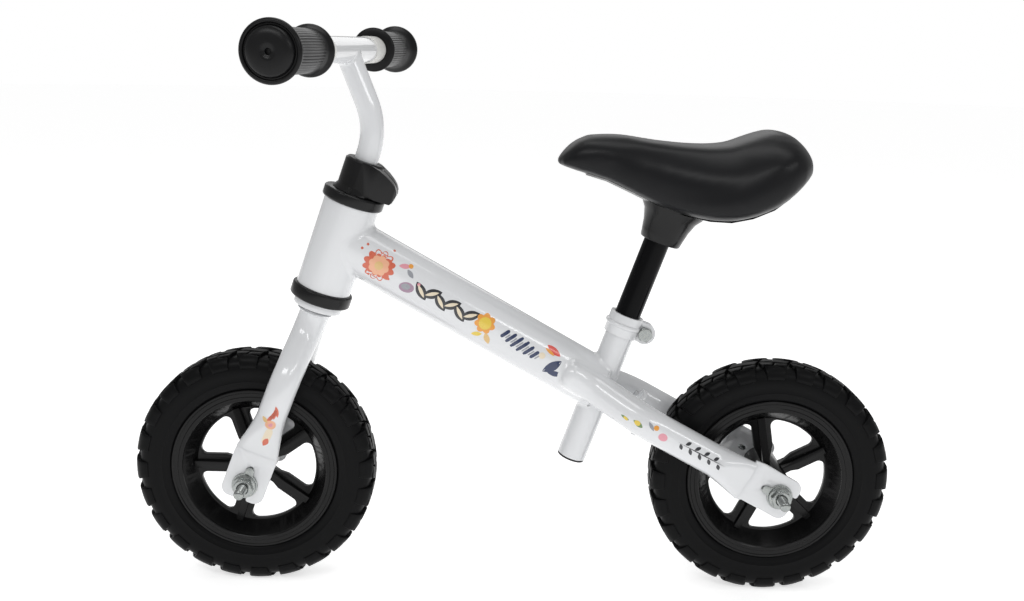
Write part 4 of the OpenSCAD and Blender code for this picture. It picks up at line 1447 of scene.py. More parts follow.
@dataclass
class Weld:
    """A painted weld along the line where two tubes meet."""

    name: str
    body: str
    reach: float = 4.0
    ripple: float = 0.05
    pitch: float = 1.2

    def along(self, mesh: bpy.types.Mesh, value: Callable[[Vector], float],
              keep: Callable[[Vector], bool] = lambda p: True,
              round_bead: bool = False) -> Optional[bpy.types.Object]:
        """Lays a weld where a mesh crosses a surface.

        Args:
            mesh: mesh of one tube.
            value: signed distance to the other tube's surface.
            keep: test that a line's middle must pass.
            round_bead: lays a plain round bead in place of a hollow fillet.

        Returns:
            The weld piece, or None where nothing crosses.
        """
        shell = Shell()
        tree = surface_tree(mesh)
        for line in crossings(mesh, value):
            middle = sum(line, Vector()) / len(line)
            if not keep(middle) or sum((b - a).length for a, b in zip(line, line[1:])) < 0.02:
                continue
            if round_bead or (line[0] - line[-1]).length > 0.008:
                self.bead(line, shell)
            else:
                self.fillet(line, tree, value, shell)
        if not shell.faces:
            log.warning("%s: no line found", self.name)
            return None
        piece = shell.build(self.name, [WHITE], smooth=80)
        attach(piece, self.body)
        return piece

    def fillet(self, line: Sequence[Vector], tree: BVHTree, value: Callable[[Vector], float],
               shell: Shell) -> None:
        """Adds a hollow fillet round a closed line.

        Args:
            line: points of the line.
            tree: search tree of the first tube's mesh.
            value: signed distance to the second tube's surface.
            shell: mesh that takes it.
        """
        pts = evenly(line, self.pitch * MM)
        middle = sum(pts, Vector()) / len(pts)
        step, rings = 0.1 * MM, []
        for i, p in enumerate(pts):
            n_a = tree.find_nearest(p)[1]
            n_a = n_a if n_a.dot(p - middle) > 0 else -n_a
            n_b = Vector([value(p + e * step) - value(p - e * step)
                          for e in (Vector((1, 0, 0)), Y_AXIS, Vector((0, 0, 1)))]).normalized()
            dot = max(-0.95, min(0.95, n_a.dot(n_b)))
            out_a, out_b = (n_b - n_a * dot).normalized(), (n_a - n_b * dot).normalized()
            w = self.reach * MM * (1 + self.ripple * math.sin(i * 2.1))
            a = tree.find_nearest(p + out_a * w)[0] - n_a * 0.12 * MM
            b = p + out_b * w
            b -= n_b * (value(b) + 0.12 * MM)
            ring = []
            for k in range(8):
                t = k / 7
                ring.append(a * (1 - t) ** 2 + (p + (n_a + n_b) * 0.15 * MM) * 2 * t * (1 - t) + b * t ** 2)
            rings.append(ring + [p - (n_a + n_b) * 0.9 * MM])
        shell.loft(rings, loop=True)

    def bead(self, line: Sequence[Vector], shell: Shell, count: int = 10) -> None:
        """Sweeps a plain round bead along one line."""
        closed = (line[0] - line[-1]).length < 0.006
        pts = evenly(line, self.pitch * MM, closed)
        n, rings, prev = len(pts), [], None
        for i, p in enumerate(pts):
            ahead = pts[(i + 1) % n] if closed or i < n - 1 else p
            back = pts[i - 1] if closed or i > 0 else p
            along = (ahead - back).normalized()
            if prev is None:
                prev = along.orthogonal().normalized()
            x = (prev - along * prev.dot(along)).normalized()
            prev = x
            y = along.cross(x)
            r = self.reach * 0.5 * (1 + self.ripple * math.sin(i * 2.1)) * MM
            if not closed:
                r *= max(0.35, min(1.0, min(i, n - 1 - i) / 3))
            rings.append([p + (x * math.cos(t) + y * math.sin(t)) * r for t in turns(count)])
        if closed:
            best = min(range(count), key=lambda k: (rings[-1][0] - rings[0][k]).length)
            rings.append([rings[0][(best + j) % count] for j in range(count)])
            shell.loft(rings, caps=False)
        else:
            shell.loft(rings)


@dataclass
class PaintedFrame:
    """Head, main and seat tubes with the rear stays, bridge and welds."""

    body: str = "frame"

    def tube(self, name: str, node: str, line: Line, start: float, end: float, radius: float, wall: float,
             trims: Sequence[tuple[Line, float]] = ()) -> bpy.types.Object:
        """Makes a painted tube whose ends are cut to fit other tubes.

        Args:
            name: name of the piece.
            node: frame node that it stands for.
            line: the tube's axis.
            start: where it starts on the axis, in metres.
            end: where it ends.
            radius: outer radius in millimetres.
            wall: wall in millimetres.
            trims: other tubes that stop it, each with a radius in millimetres, start's first.

        Returns:
            The piece.
        """
        count = 96
        base = line.place()
        shell = Shell()

        def trimmed(t: float, r: float, other: Optional[tuple[Line, float]], near: float,
                    far: float) -> float:
            if other is None:
                return near
            axis, rr = other
            lo, hi = near, far
            p = lambda s: base @ Vector((r * math.cos(t) * MM, r * math.sin(t) * MM, s))
            if axis.distance(p(lo)) > rr * MM:
                return near
            for _ in range(40):
                mid = (lo + hi) / 2
                lo, hi = (mid, hi) if axis.distance(p(mid)) < rr * MM else (lo, mid)
            return hi

        def ring(r: float, share: float) -> list[Vector]:
            out, middle = [], (start + end) / 2
            for t in turns(count):
                a = trimmed(t, r, trims[0] if trims else None, start, middle)
                b = trimmed(t, r, trims[1] if len(trims) > 1 else None, end, middle)
                out.append(base @ Vector((r * math.cos(t) * MM, r * math.sin(t) * MM, a + (b - a) * share)))
            return out

        edge = 0.4 * MM / (end - start)
        shares = [edge] + [k / 40 for k in range(1, 40)] + [1 - edge]
        rings = [ring(radius - 0.35, 0.0)] + [ring(radius, s) for s in shares] + [ring(radius - 0.35, 1.0)]
        rings += [ring(radius - wall, 1.0), ring(radius - wall, 0.0)]
        shell.loft(rings, loop=True)
        piece = shell.build(name, [WHITE], smooth=35)
        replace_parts(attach(piece, self.body), node)
        return piece

    def build(self) -> dict[str, bpy.types.Object]:
        """Makes the frame's painted pieces and returns those that graphics lie on."""
        steer, main, seat = LAY.steer, LAY.main, LAY.seat
        self.tube("head_tube_painted", "head_tube", steer, LAY.head_s, LAY.head_s + LAY.head_length * MM,
                  LAY.head_d / 2, 2.5)
        top = self.tube("main_tube_painted", "main_tube", main, 0.0, LAY.main_length, LAY.main_d / 2, 1.6,
                        [(steer, LAY.head_d / 2), (seat, LAY.seat_tube_d / 2)])
        self.tube("seat_tube_painted", "seat_tube", seat, -LAY.seat_below * MM, LAY.seat_above * MM,
                  LAY.seat_tube_d / 2, 1.5)
        stays = {}
        for side in Side:
            word = side.name.lower()
            stays[word] = FlatEndTube(f"{word}_stay", f"{word}_stay", self.body, LAY.stay, LAY.rear, side,
                                      start=-33.0, step=28.0, front_y=18.0, lead=8.0, radius=62.0, bend=28.0,
                                      tube_d=LAY.stay_d, round_front=True).build()
            self.clear_post(stays[word], side)
        bridge = softened("stay_bridge", WHITE, width=0.7)
        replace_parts(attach(bridge, self.body), "stay_bridge")
        self.welds(stays)
        return {"main": top, **stays}

    def clear_post(self, piece: bpy.types.Object, side: Side) -> None:
        """Draws what lies inside the seat tube back into its wall, clear of the sliding post.

        Args:
            piece: a stay or a weld.
            side: the side of the bike that it is on.
        """
        seat, keep = LAY.seat, (LAY.seat_tube_d / 2 - 0.5) * MM
        for v in piece.data.vertices:
            along = (v.co - seat.start).dot(seat.along)
            off = v.co - seat.at(along)
            if off.length < keep:
                flat = off.length_squared - off.y ** 2
                v.co.y = side.value * math.sqrt(max(0.0, keep ** 2 - flat))
        piece.data.update()

    def welds(self, stays: dict[str, bpy.types.Object]) -> None:
        """Lays the beads between the frame's tubes.

        Args:
            stays: the finished stays by side.
        """
        steer, main, seat = LAY.steer, LAY.main, LAY.seat

        def whole(line: Line, start: float, end: float, radius: float) -> bpy.types.Mesh:
            shell = Shell()
            shell.lathe([(radius, (start + (end - start) * k / 90) / MM) for k in range(91)], line.place(),
                        count=120)
            return shell.mesh("probe")

        probe = whole(main, 0.005, LAY.main_length, LAY.main_d / 2)
        Weld("weld_head", self.body, reach=5.5).along(probe, lambda p: steer.distance(p)
                                                      - LAY.head_d / 2 * MM)
        tube = whole(seat, -LAY.seat_below * MM, LAY.seat_above * MM, LAY.seat_tube_d / 2)

        def main_shape(p: Vector) -> float:
            past = (p - main.start).dot(main.along) - LAY.main_length
            return max(main.distance(p) - LAY.main_d / 2 * MM, past)

        Weld("weld_seat_tube", self.body, reach=4.0).along(tube, main_shape)
        for word, stay in stays.items():
            side = Side[word.upper()]
            for bead in (Weld(f"weld_{word}_stay", self.body, reach=4.5).along(stay.data, main_shape),
                         Weld(f"weld_{word}_stay_post", self.body, reach=3.0).along(
                             stay.data, lambda p: seat.distance(p) - LAY.seat_tube_d / 2 * MM)):
                if bead is not None:
                    self.clear_post(bead, side)
        for m in (probe, tube):
            bpy.data.meshes.remove(m)


@dataclass
class Fork:
    """Steerer, crown and two bent legs."""

    body: str = "fork"

    def build(self) -> dict[str, bpy.types.Object]:
        """Makes the fork's painted pieces and returns its legs."""
        legs = {}
        for side in Side:
            word = side.name.lower()
            legs[word] = FlatEndTube(f"fork_{word}_leg", f"fork_{word}_leg", self.body, LAY.leg, LAY.front,
                                     side, start=-0.5, step=39.0,
                                     front_y=8.0, lead=4.5, radius=48.0, bend=40.0, tube_d=LAY.leg_d).build()
        crown = softened("fork_crown", WHITE, width=0.8, segments=3)
        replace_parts(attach(crown, self.body), "fork_crown")
        dress(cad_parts["steerer_tube"], WHITE)
        middle = Weld("weld_fork_crotch", self.body, reach=4.0)
        middle.along(legs["left"].data, lambda p: p.y, keep=lambda p: p.z > 0.2, round_bead=True)
        under = LAY.steer
        for word, leg in legs.items():
            Weld(f"weld_fork_crown_{word}", self.body, reach=3.2).along(
                leg.data, lambda p: LAY.crown_s - 0.4 * MM - (p - under.start).dot(under.along))
        log.info("fork done")
        return legs


# ---------------------------------------------------------------- head set, clamps


@dataclass
class HeadSet:
    """Cups, stem clamp and seat clamp."""

    def build(self) -> None:
        """Finishes the plastic cups and the two clamps."""
        for node in ("upper_headset_cup", "lower_headset_cup"):
            piece = softened(node, PLASTIC, width=0.6)
            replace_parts(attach(piece, "frame"), node)
        clamp = softened("stem_clamp", PLASTIC, width=1.3, segments=3, angle=25)
        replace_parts(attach(clamp, "clamp"), "stem_clamp")
        for node in ("stem_clamp_bolt", "stem_clamp_nut"):
            dress(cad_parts[node], ZINC)
        collar = softened("seat_clamp", WHITE, width=0.6, segments=2)
        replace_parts(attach(collar, "frame"), "seat_clamp")
        plug = softened("seat_tube_plug", PLASTIC, width=0.5)
        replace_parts(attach(plug, "frame"), "seat_tube_plug")
        self.seat_bolt()

    def seat_bolt(self) -> None:
        """Makes the seat clamp's bolt and nut."""
        lo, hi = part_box("seat_clamp_bolt")
        mid = (lo + hi) / 2
        place = Matrix.Translation(Vector((mid.x, 0, mid.z))) @ Matrix.Rotation(math.radians(-90), 4,
                "X") @ Matrix.Rotation(math.radians(12), 4, "Z")
        shell = Shell()
        bolt = Fastener(place)
        bolt.hex_head(13.2, 5.05, 10.4, shell)
        shell.lathe([(0, -14.6), (3.2, -14.6), (3.95, -13.8), (3.95, 5.4), (0, 5.4)], place, count=48)
        piece = shell.build("seat_bolt_hex", [ZINC], smooth=28)
        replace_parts(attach(piece, "frame"), "seat_clamp_bolt")
        back = Fastener(place @ Matrix.Rotation(math.pi, 4, "X"))
        shell = Shell()
        back.hex_head(13.0, 5.05, 11.4, shell, bore=4.0)
        nut = shell.build("seat_nut_hex", [ZINC], smooth=28)
        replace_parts(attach(nut, "frame"), "seat_clamp_nut")
        log.info("clamps done")


# ---------------------------------------------------------------- handlebar


@dataclass
class Handlebar:
    """Stem, bar, pale sleeves and ribbed grips."""

    body: str = "handlebar"
    reach: float = 206.0
    length: float = 96.0
    hand_r: float = 18.6
    flange_r: float = 25.2
    inner_r: float = 22.3
    bore_r: float = 13.6
    ribs: int = 44

    def grip_profile(self) -> list[tuple[float, float, float]]:
        """Outline of a grip as (radius, distance along the bar, rib depth)."""
        a = self.reach - self.length - 3
        b, h = self.reach, self.hand_r
        rows = [(self.bore_r, a + 0.2, 0), (self.inner_r - 1.6, a + 0.1, 0), (self.inner_r - 0.3, a + 0.9, 0),
                (self.inner_r, a + 2.2, 0),
                (self.inner_r - 0.2, a + 3.6, 0), (self.inner_r - 1.2, a + 5.0, 0), (h + 0.9, a + 6.6, 0),
                (h, a + 8.6, 0), (h, a + 10.4, 0.0)]
        steps = 22
        for k in range(steps + 1):
            t = k / steps
            z = a + 11.5 + (b - 20.5 - (a + 11.5)) * t
            swell = 0.7 * math.sin(math.pi * t) - 0.35
            rows.append((h + swell, z, 0.62 * smoothstep(min(t, 1 - t) * 12)))
        rows += [(h - 0.2, b - 17.5, 0), (h + 0.1, b - 13.0, 0), (h + 0.8, b - 9.5, 0), (h + 2.4, b - 6.5, 0),
                 (self.flange_r - 2.4, b - 4.0, 0),
                 (self.flange_r - 0.7, b - 2.3, 0), (self.flange_r, b - 0.6, 0), (self.flange_r, b + 1.0, 0),
                 (self.flange_r - 0.8, b + 2.3, 0),
                 (self.flange_r - 1.8, b + 2.9, 0), (self.flange_r - 2.9, b + 2.9, 0),
                 (self.flange_r - 3.6, b + 2.2, 0), (self.flange_r - 4.1, b + 1.2, 0),
                 (self.flange_r - 4.9, b + 1.3, 0), (self.flange_r - 5.4, b + 2.6, 0),
                 (self.flange_r - 6.3, b + 4.6, 0), (self.flange_r - 8.0, b + 6.2, 0),
                 (13.0, b + 7.5, 0), (7.0, b + 7.95, 0), (4.6, b + 7.9, 0), (4.1, b + 7.3, 0),
                 (2.9, b + 7.2, 0), (2.3, b + 6.6, 0), (2.1, b + 4.0, 0), (0.0, b + 4.0, 0)]
        return rows

    def grip(self, side: Side) -> bpy.types.Object:
        """Makes one grip."""
        word = side.name.lower()
        place = LAY.bar_place @ (Matrix.Identity(4) if side is Side.LEFT
                                 else Matrix.Rotation(math.pi, 4, "X"))
        count = self.ribs * 4
        shell = Shell()
        rings: list[list[int]] = []
        for r, z, cut in self.grip_profile():
            if r < 1e-6:
                rings.append(shell.ring([place @ Vector((0, 0, z * MM))]))
                continue
            rings.append(shell.ring(
                place @ (polar(r - cut * (0.5 + 0.5 * math.cos(self.ribs * t)) ** 2, t, z) * MM)
                for t in turns(count)))
        for a, b in zip(rings, rings[1:]):
            if len(b) == 1:
                for i in range(count):
                    shell.face((b[0], a[i], a[(i + 1) % count]))
            else:
                shell.bridge(a, b)
        inner = shell.ring(place @ (polar(self.bore_r, t, self.reach - 4) * MM) for t in turns(count))
        shell.bridge(rings[0], inner)
        shell.face(inner)
        piece = shell.build(f"{word}_grip_ribbed", [RUBBER], smooth=50)
        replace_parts(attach(piece, self.body), f"{word}_grip")
        return piece

    def build(self) -> None:
        """Makes the handlebar's pieces."""
        place = LAY.bar_place
        shell = Shell()
        half = self.reach - 3.1
        r = LAY.bar_d / 2
        shell.lathe([(r - 0.3, -half), (r, -half + 0.3)] + [(r, -half + 0.3 + (2 * half - 0.6) * k / 40)
                                                            for k in range(1, 41)]
                                                            + [(r - 0.3, half), (r - 1.6, half),
                                                               (r - 1.6, -half)],
                    place, count=96, loop=True)
        bar = shell.build("handlebar_painted", [WHITE], smooth=35)
        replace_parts(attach(bar, self.body), "handlebar_tube")
        dress(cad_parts["stem_tube"], WHITE)
        for side in Side:
            self.grip(side)
            dress(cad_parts[f"{side.name.lower()}_grip_sleeve"], PALE)
        axis = Line(place.translation.copy(), (place.to_3x3() @ Vector((0, 0, 1))).normalized())
        probe = self._stem_probe()
        Weld("weld_bar", self.body, reach=3.4).along(probe, lambda p: axis.distance(p) - LAY.bar_d / 2 * MM)
        bpy.data.meshes.remove(probe)
        log.info("handlebar done")

    def _stem_probe(self) -> bpy.types.Mesh:
        """A plain tube along the stem's upper part, run on past the bar."""
        turned = LAY.steer.place() @ Matrix.Rotation(math.radians(LAY.bar_turn), 4, "Z")
        s = (LAY.clamp_s / MM + LAY.clamp_height + LAY.bar_height)
        a = math.radians(41.0)
        way = Vector((math.sin(a), 0, math.cos(a)))
        tip = Vector((LAY.bar_forward, 0, s))
        shell = Shell()
        side, up = Vector((0, 1, 0)), Vector((math.cos(a), 0, -math.sin(a)))
        rings = []
        for k in range(25):
            c = tip + way * (-30 + 1.2 * k)
            rings.append([turned @ ((c + (side * math.cos(t) + up * math.sin(t)) * LAY.stem_d / 2) * MM)
                          for t in turns(96)])
        shell.loft(rings, caps=False)
        return shell.mesh("stem_probe")


# ---------------------------------------------------------------- saddle


@dataclass
class Saddle:
    """Padded saddle on its base and post."""

    body: str = "saddle"
    length: float = 242.0
    width: float = 146.0

    @property
    def origin(self) -> Vector:
        """Front end of the saddle's length at its datum height."""
        o = LAY.seat.at((LAY.seat_above + LAY.post_shown + LAY.socket) * MM)
        return Vector((o.x + 0.46 * self.length * MM, 0, o.z))

    def stations(self) -> list[tuple[float, float, float, float, float]]:
        """Rows of (share of length, half width, crown height, underside, edge height) in millimetres."""
        w = self.width
        return [(0.000, 0.02 * w, 47.5, 46, 46.8), (0.006, 0.075 * w, 50.5, 44.5, 47.4),
                (0.022, 0.125 * w, 56, 43.3, 48.6),
                (0.06, 0.185 * w, 65.6, 41, 50.5), (0.12, 0.225 * w, 72.3, 37.4, 50.8),
                (0.20, 0.25 * w, 71.6, 31.8, 47.8),
                (0.30, 0.272 * w, 67.9, 20.8, 39.6), (0.40, 0.305 * w, 64.5, 9.4, 31.4),
                (0.50, 0.355 * w, 62.4, 0.8, 25.4),
                (0.60, 0.415 * w, 61.8, -3.7, 22.5), (0.68, 0.46 * w, 63.8, -3.9, 23.2),
                (0.76, 0.487 * w, 71.5, 0.7, 29),
                (0.84, 0.485 * w, 79.2, 9.2, 37.4), (0.90, 0.455 * w, 78.4, 20, 44.5),
                (0.95, 0.39 * w, 70.5, 32.5, 47.5),
                (0.98, 0.30 * w, 61.5, 41, 48.8), (0.995, 0.17 * w, 54.5, 46, 49.5),
                (1.0, 0.03 * w, 51, 49, 49.9)]

    def ring(self, row: tuple[float, float, float, float, float], count: int = 48) -> list[Vector]:
        """One crosswise section of the pad."""
        share, half, top, low, edge = row
        x = -share * self.length
        out = []
        for t in turns(count):
            c, s = math.cos(t), math.sin(t)
            y = half * (1 if c >= 0 else -1) * abs(c) ** (0.78 if s >= 0 else 0.60)
            if s >= 0:
                z = edge + (top - edge) * abs(s) ** 0.80
            else:
                z = edge - (edge - low) * abs(s) ** 0.56
            out.append(self.origin + Vector((x, y, z)) * MM)
        return out

    def pad(self) -> bpy.types.Object:
        """Makes the padded top, swells it as cloth and smooths it."""
        shell = Shell()
        shell.loft([self.ring(r) for r in self.stations()])
        piece = shell.build("saddle_padding", [VINYL], smooth=80)
        remesh = piece.modifiers.new("skin", "REMESH")
        remesh.mode, remesh.voxel_size = "VOXEL", 4.5 * MM
        settle(piece)
        self.swell(piece)
        smooth = piece.modifiers.new("ease", "CORRECTIVE_SMOOTH")
        smooth.iterations, smooth.use_only_smooth = 6, True
        sub = piece.modifiers.new("round", "SUBSURF")
        sub.levels = sub.render_levels = 1
        settle(piece)
        shade(piece.data, 80)
        dress(piece, VINYL)
        return piece

    def swell(self, piece: bpy.types.Object, cap: float = 4.0, frames: int = 20) -> None:
        """Swells the pad with air pressure as cloth.

        Args:
            piece: the remeshed pad.
            cap: furthest that a point may move, in millimetres.
            frames: length of the cloth run.
        """
        rest = [v.co.copy() for v in piece.data.vertices]
        faces_down = [smoothstep(-v.normal.z * 1.6) for v in piece.data.vertices]
        cloth = piece.modifiers.new("cloth", "CLOTH")
        cloth.settings.use_pressure = True
        cloth.settings.uniform_pressure_force = 4.0
        cloth.settings.effector_weights.gravity = 0.0
        cloth.settings.quality = 6
        cloth.settings.tension_stiffness = cloth.settings.compression_stiffness = 20
        cloth.settings.mass = 0.3
        cloth.point_cache.frame_start, cloth.point_cache.frame_end = 1, frames
        scene = bpy.context.scene
        for frame_no in range(1, frames + 1):
            scene.frame_set(frame_no)
        settle(piece)
        scene.frame_set(1)
        for v, old, under in zip(piece.data.vertices, rest, faces_down):
            away = (v.co - old) * (1 - 0.85 * under)
            if away.length > cap * MM:
                away = away.normalized() * cap * MM
            v.co = old + away

    def base(self) -> None:
        """Makes the pan under the pad and its tapered socket."""
        shell = Shell()
        rows = [r for r in self.stations() if 0.1 < r[0] < 0.92]
        rings = []
        for share, half, _, low, _ in rows:
            flat = [Vector((0, y, z)) for y, z in rounded_box(half * 1.25, 5.0, 2.4, 40)]
            rings.append([self.origin + Vector((-share * self.length, p.y, low + 0.6 + p.z)) * MM
                          for p in flat])
        shell.loft(rings)
        foot = LAY.seat_above + LAY.post_shown
        place = LAY.seat.place() @ Matrix.Translation((-2.4 * MM, 0, foot * MM))
        shell.lathe([(13.2, 6), (13.2, 0.4), (14.2, 0), (19.0, 0), (20.0, 1.0), (21.2, 8), (23.0, 17),
                     (26.5, 27), (31.0, 33), (33.0, 38), (20, 40), (13.2, 40)],
                    place, count=72, loop=True)
        pan = shell.build("saddle_pan", [PLASTIC], smooth=40)
        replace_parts(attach(pan, self.body), "saddle_base")

    def build(self) -> None:
        """Makes the saddle's pieces."""
        pad = self.pad()
        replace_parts(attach(pad, self.body), "saddle_pad")
        self.base()
        dress(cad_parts["seat_post"], TUBE_BLACK)
        log.info("saddle: %d faces", len(pad.data.polygons))


# ---------------------------------------------------------------- printed graphics


def placed(x: float, y: float, s: float, v: float, turn: float) -> Point:
    """A point turned by an angle in radians and moved to (s, v)."""
    return s + x * math.cos(turn) - y * math.sin(turn), v + x * math.sin(turn) + y * math.cos(turn)


@dataclass
class Prints:
    """Thin printed shapes that lie on round tubes."""

    name: str
    body: str
    line: Line
    radius: float
    offset_y: float = 0.0
    inks: list[Ink] = field(default_factory=list)
    shell: Shell = field(default_factory=Shell)
    tree: Optional[BVHTree] = None
    outside: float = 0.03

    def slot(self, ink: Ink) -> int:
        """The material slot of a colour."""
        if ink not in self.inks:
            self.inks.append(ink)
        return self.inks.index(ink)

    def wrap(self, s: float, v: float, lift: float) -> Vector:
        """A point on the tube.

        Args:
            s: distance along the tube in millimetres.
            v: distance round it, upwards from its left side.
            lift: height over the paint.

        Returns:
            The point in metres.
        """
        base = self.line.place()
        a = v / self.radius
        r = self.radius + lift
        up = base.to_3x3() @ Vector((1, 0, 0))
        up = up if up.z > 0 or abs(up.z) < 0.2 else -up
        p = self.line.at(s * MM) + Vector((0, self.offset_y * MM, 0))
        out = Vector((0, 1, 0)) * math.cos(a) + up * math.sin(a)
        if self.tree is not None:
            hit, normal, _, _ = self.tree.ray_cast(p + out * self.outside, -out)
            if hit is not None:
                return hit + normal * lift * MM
        return p + out * r * MM

    def patch(self, outline: Sequence[Point], ink: Ink, layer: int = 0) -> None:
        """Adds a flat shape given by its outline round a middle point."""
        low, high = 0.02 + 0.05 * layer, 0.07 + 0.05 * layer
        slot = self.slot(ink)
        mid = (sum(p[0] for p in outline) / len(outline), sum(p[1] for p in outline) / len(outline))
        rings = []
        for share, h in ((1.0, low), (1.0, high), (0.66, high), (0.33, high)):
            rings.append(self.shell.ring(self.wrap(mid[0] + (p[0] - mid[0]) * share,
                                                   mid[1] + (p[1] - mid[1]) * share, h) for p in outline))
        for a, b in zip(rings, rings[1:]):
            self.shell.bridge(a, b, slot=slot)
        tip = self.shell.ring([self.wrap(*mid, high)])[0]
        n = len(outline)
        for i in range(n):
            self.shell.face((rings[-1][i], rings[-1][(i + 1) % n], tip), slot)
        self.shell.face(list(reversed(rings[0])), slot)

    def disc(self, s: float, v: float, r: float, ink: Ink, layer: int = 0, squash: float = 1.0,
             turn: float = 0.0, count: int = 28) -> None:
        """Adds a disc or an oval."""
        t0 = math.radians(turn)
        self.patch([placed(x, y * squash, s, v, t0) for x, y in circle(r, count)], ink, layer)

    def rosette(self, s: float, v: float, r: float, petals: int, ink: Ink, layer: int = 0,
                depth: float = 0.2) -> None:
        """Adds a round flower with scalloped petals."""
        pts = []
        for t in turns(petals * 8):
            rr = r * (1 - depth + depth * abs(math.cos(petals * t / 2)))
            pts.append((s + rr * math.cos(t), v + rr * math.sin(t)))
        self.patch(pts, ink, layer)

    def leaf(self, s: float, v: float, length: float, width: float, turn: float, ink: Ink,
             layer: int = 0) -> None:
        """Adds a pointed leaf."""
        t0, pts = math.radians(turn), []
        for i in range(24):
            t = i / 12
            k = t if t <= 1 else 2 - t
            x = length * (k - 0.5)
            y = width / 2 * math.sin(math.pi * k) ** 0.8 * (1 if t <= 1 else -1)
            if i in (0, 12):
                y = 0
            pts.append(placed(x, y, s, v, t0))
        self.patch(pts, ink, layer)

    def bar(self, s: float, v: float, length: float, width: float, turn: float, ink: Ink,
            layer: int = 0) -> None:
        """Adds a bar with round ends."""
        t0 = math.radians(turn)
        self.patch([placed(x, y, s, v, t0) for x, y in rounded_box(length, width, width / 2, 32)], ink, layer)

    def build(self) -> bpy.types.Object:
        """Makes the printed piece and sets it on its body."""
        piece = self.shell.build(self.name, [i.finish for i in self.inks], smooth=30)
        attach(piece, self.body)
        log.info("%s: %d shapes' faces", self.name, len(piece.data.polygons))
        return piece


def main_tube_prints() -> None:
    """Prints a row of flowers, pebbles and leaves along the main tube."""
    p = Prints("prints_main_tube", "frame", LAY.main, LAY.main_d / 2)
    for s, v in ((24, 8), (27, 14), (52, 22), (60, -6), (41, -12)):
        p.disc(s, v, 1.3, Ink.CORAL)
    p.rosette(46, 1, 16.0, 12, Ink.CORAL, 0)
    p.rosette(46, 1, 10.2, 8, Ink.PEACH, 1, 0.14)
    p.disc(46, 1, 4.2, Ink.SAND, 2)
    p.leaf(68, 13, 12, 5, 25, Ink.PINK)
    p.leaf(76, 9, 10, 4.5, -30, Ink.GREY)
    p.disc(73, 16, 2.4, Ink.ORANGE, 1)
    p.disc(79, -4.5, 7.4, Ink.MAUVE, 0, 0.72, 20)
    p.disc(78, -4, 4.4, Ink.GREY, 1, 0.7, 20)
    p.disc(88, 4, 1.6, Ink.PINK)
    for k in range(6):
        s, sign = 93 + k * 10.6, 1 if k % 2 else -1
        p.leaf(s, 1.0 + sign * 1.5, 20, 9.5, sign * 38, Ink.CHARCOAL, 0)
        p.leaf(s, 1.0 + sign * 1.5, 14, 3.4, sign * 38, Ink.CREAM, 1)
    p.rosette(162, 3, 10.5, 7, Ink.ORANGE, 0, 0.24)
    p.disc(162, 3, 6.2, Ink.YELLOW, 1)
    p.leaf(171, -10, 13, 6, -50, Ink.SAND)
    p.leaf(160, -11, 11, 5, 35, Ink.YELLOW)
    for k in range(6):
        p.bar(184 + k * 7.0, 4 - k * 0.8, 17 - abs(k - 2.5) * 2.4, 3.4, 62, Ink.NAVY)
        p.bar(187.4 + k * 7.0, 3 - k * 0.8, 10 - abs(k - 2.5) * 1.6, 1.4, 62, Ink.GREY)
    p.disc(226, 3, 3.2, Ink.CREAM)
    p.leaf(234, 13, 17, 6.5, -14, Ink.RED)
    p.leaf(231, 10, 12, 3.0, -14, Ink.ORANGE, 1)
    p.leaf(240, -2, 22, 9, 60, Ink.NAVY)
    p.leaf(246, -7, 15, 6, 20, Ink.NAVY, 1)
    p.build()


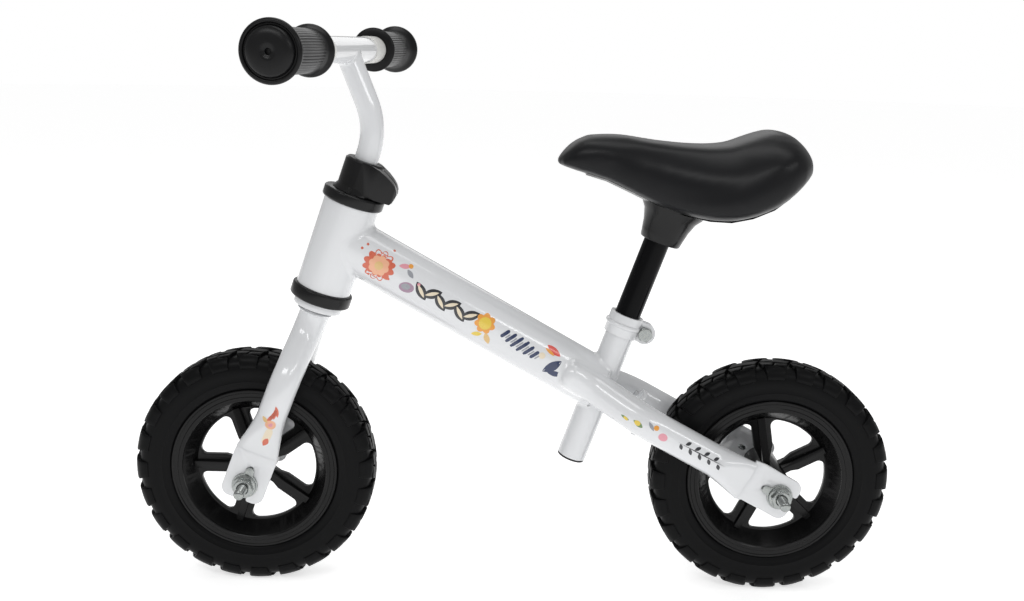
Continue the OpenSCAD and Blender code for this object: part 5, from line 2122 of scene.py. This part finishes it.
def stay_prints(stay: bpy.types.Object) -> None:
    """Prints small leaves in a row along the left stay.

    Args:
        stay: the finished left stay.
    """
    p = Prints("prints_left_stay", "frame", LAY.stay, LAY.stay_d / 2, offset_y=46.0,
               tree=surface_tree(stay.data))
    p.leaf(26, -6.5, 9, 5, 20, Ink.GREEN)
    p.disc(27, -6.5, 2.4, Ink.YELLOW, 1)
    p.leaf(39, -2, 11, 6, -10, Ink.GREEN)
    p.disc(38, -1.5, 3.0, Ink.YELLOW, 1)
    p.leaf(51, 3, 10, 3.4, -35, Ink.GREY)
    p.disc(56, 4, 2.6, Ink.ORANGE)
    p.disc(66, -1, 4.6, Ink.PINK, 0, 0.85)
    p.bar(107, 2.6, 52, 1.1, 1, Ink.CHARCOAL)
    for k in range(9):
        sign = 1 if k % 2 else -1
        p.leaf(86 + k * 5.2, 2.6 + sign * 3.1, 7.2 - 0.3 * abs(k - 3), 3.4, sign * 48, Ink.CHARCOAL)
    p.build()


def leg_prints(leg: bpy.types.Object) -> None:
    """Prints a small plume of leaves on the left fork leg.

    Args:
        leg: the finished left leg.
    """
    p = Prints("prints_left_leg", "fork", LAY.leg, LAY.leg_d / 2, offset_y=47.3, tree=surface_tree(leg.data))
    for k, turn in enumerate((62, 82, 100, 120)):
        p.leaf(93 + k * 2.3, -4.4 + k * 1.1, 12, 3.6, turn + 90, Ink.CORAL)
    p.disc(107, -3, 5.2, Ink.PEACH, 0, 0.8, 90)
    p.disc(107, -3, 2.0, Ink.PINK, 1)
    p.leaf(104, 4, 8, 4, 120, Ink.SAND)
    p.bar(119, -3.5, 17, 6.5, 4, Ink.CREAM)
    p.leaf(125, -4, 9, 5, 10, Ink.CORAL, 1)
    p.build()


# ---------------------------------------------------------------- whole bike


def main() -> None:
    """Builds the whole bike in order and reports each part."""
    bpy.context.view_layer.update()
    Studio().build()
    tubes = PaintedFrame().build()
    legs = Fork().build()
    for name, centre, axle_body in (("rear", LAY.rear, "frame"), ("front", LAY.front, "fork")):
        Wheel(name, f"{name}_wheel", centre).build()
        AxleSet(name, axle_body, centre).build()
    HeadSet().build()
    Handlebar().build()
    Saddle().build()
    main_tube_prints()
    stay_prints(tubes["left"])
    leg_prints(legs["left"])
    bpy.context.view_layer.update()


if __name__ == "__main__":
    logging.basicConfig(level=logging.INFO, format="%(name)s: %(message)s")
    main()
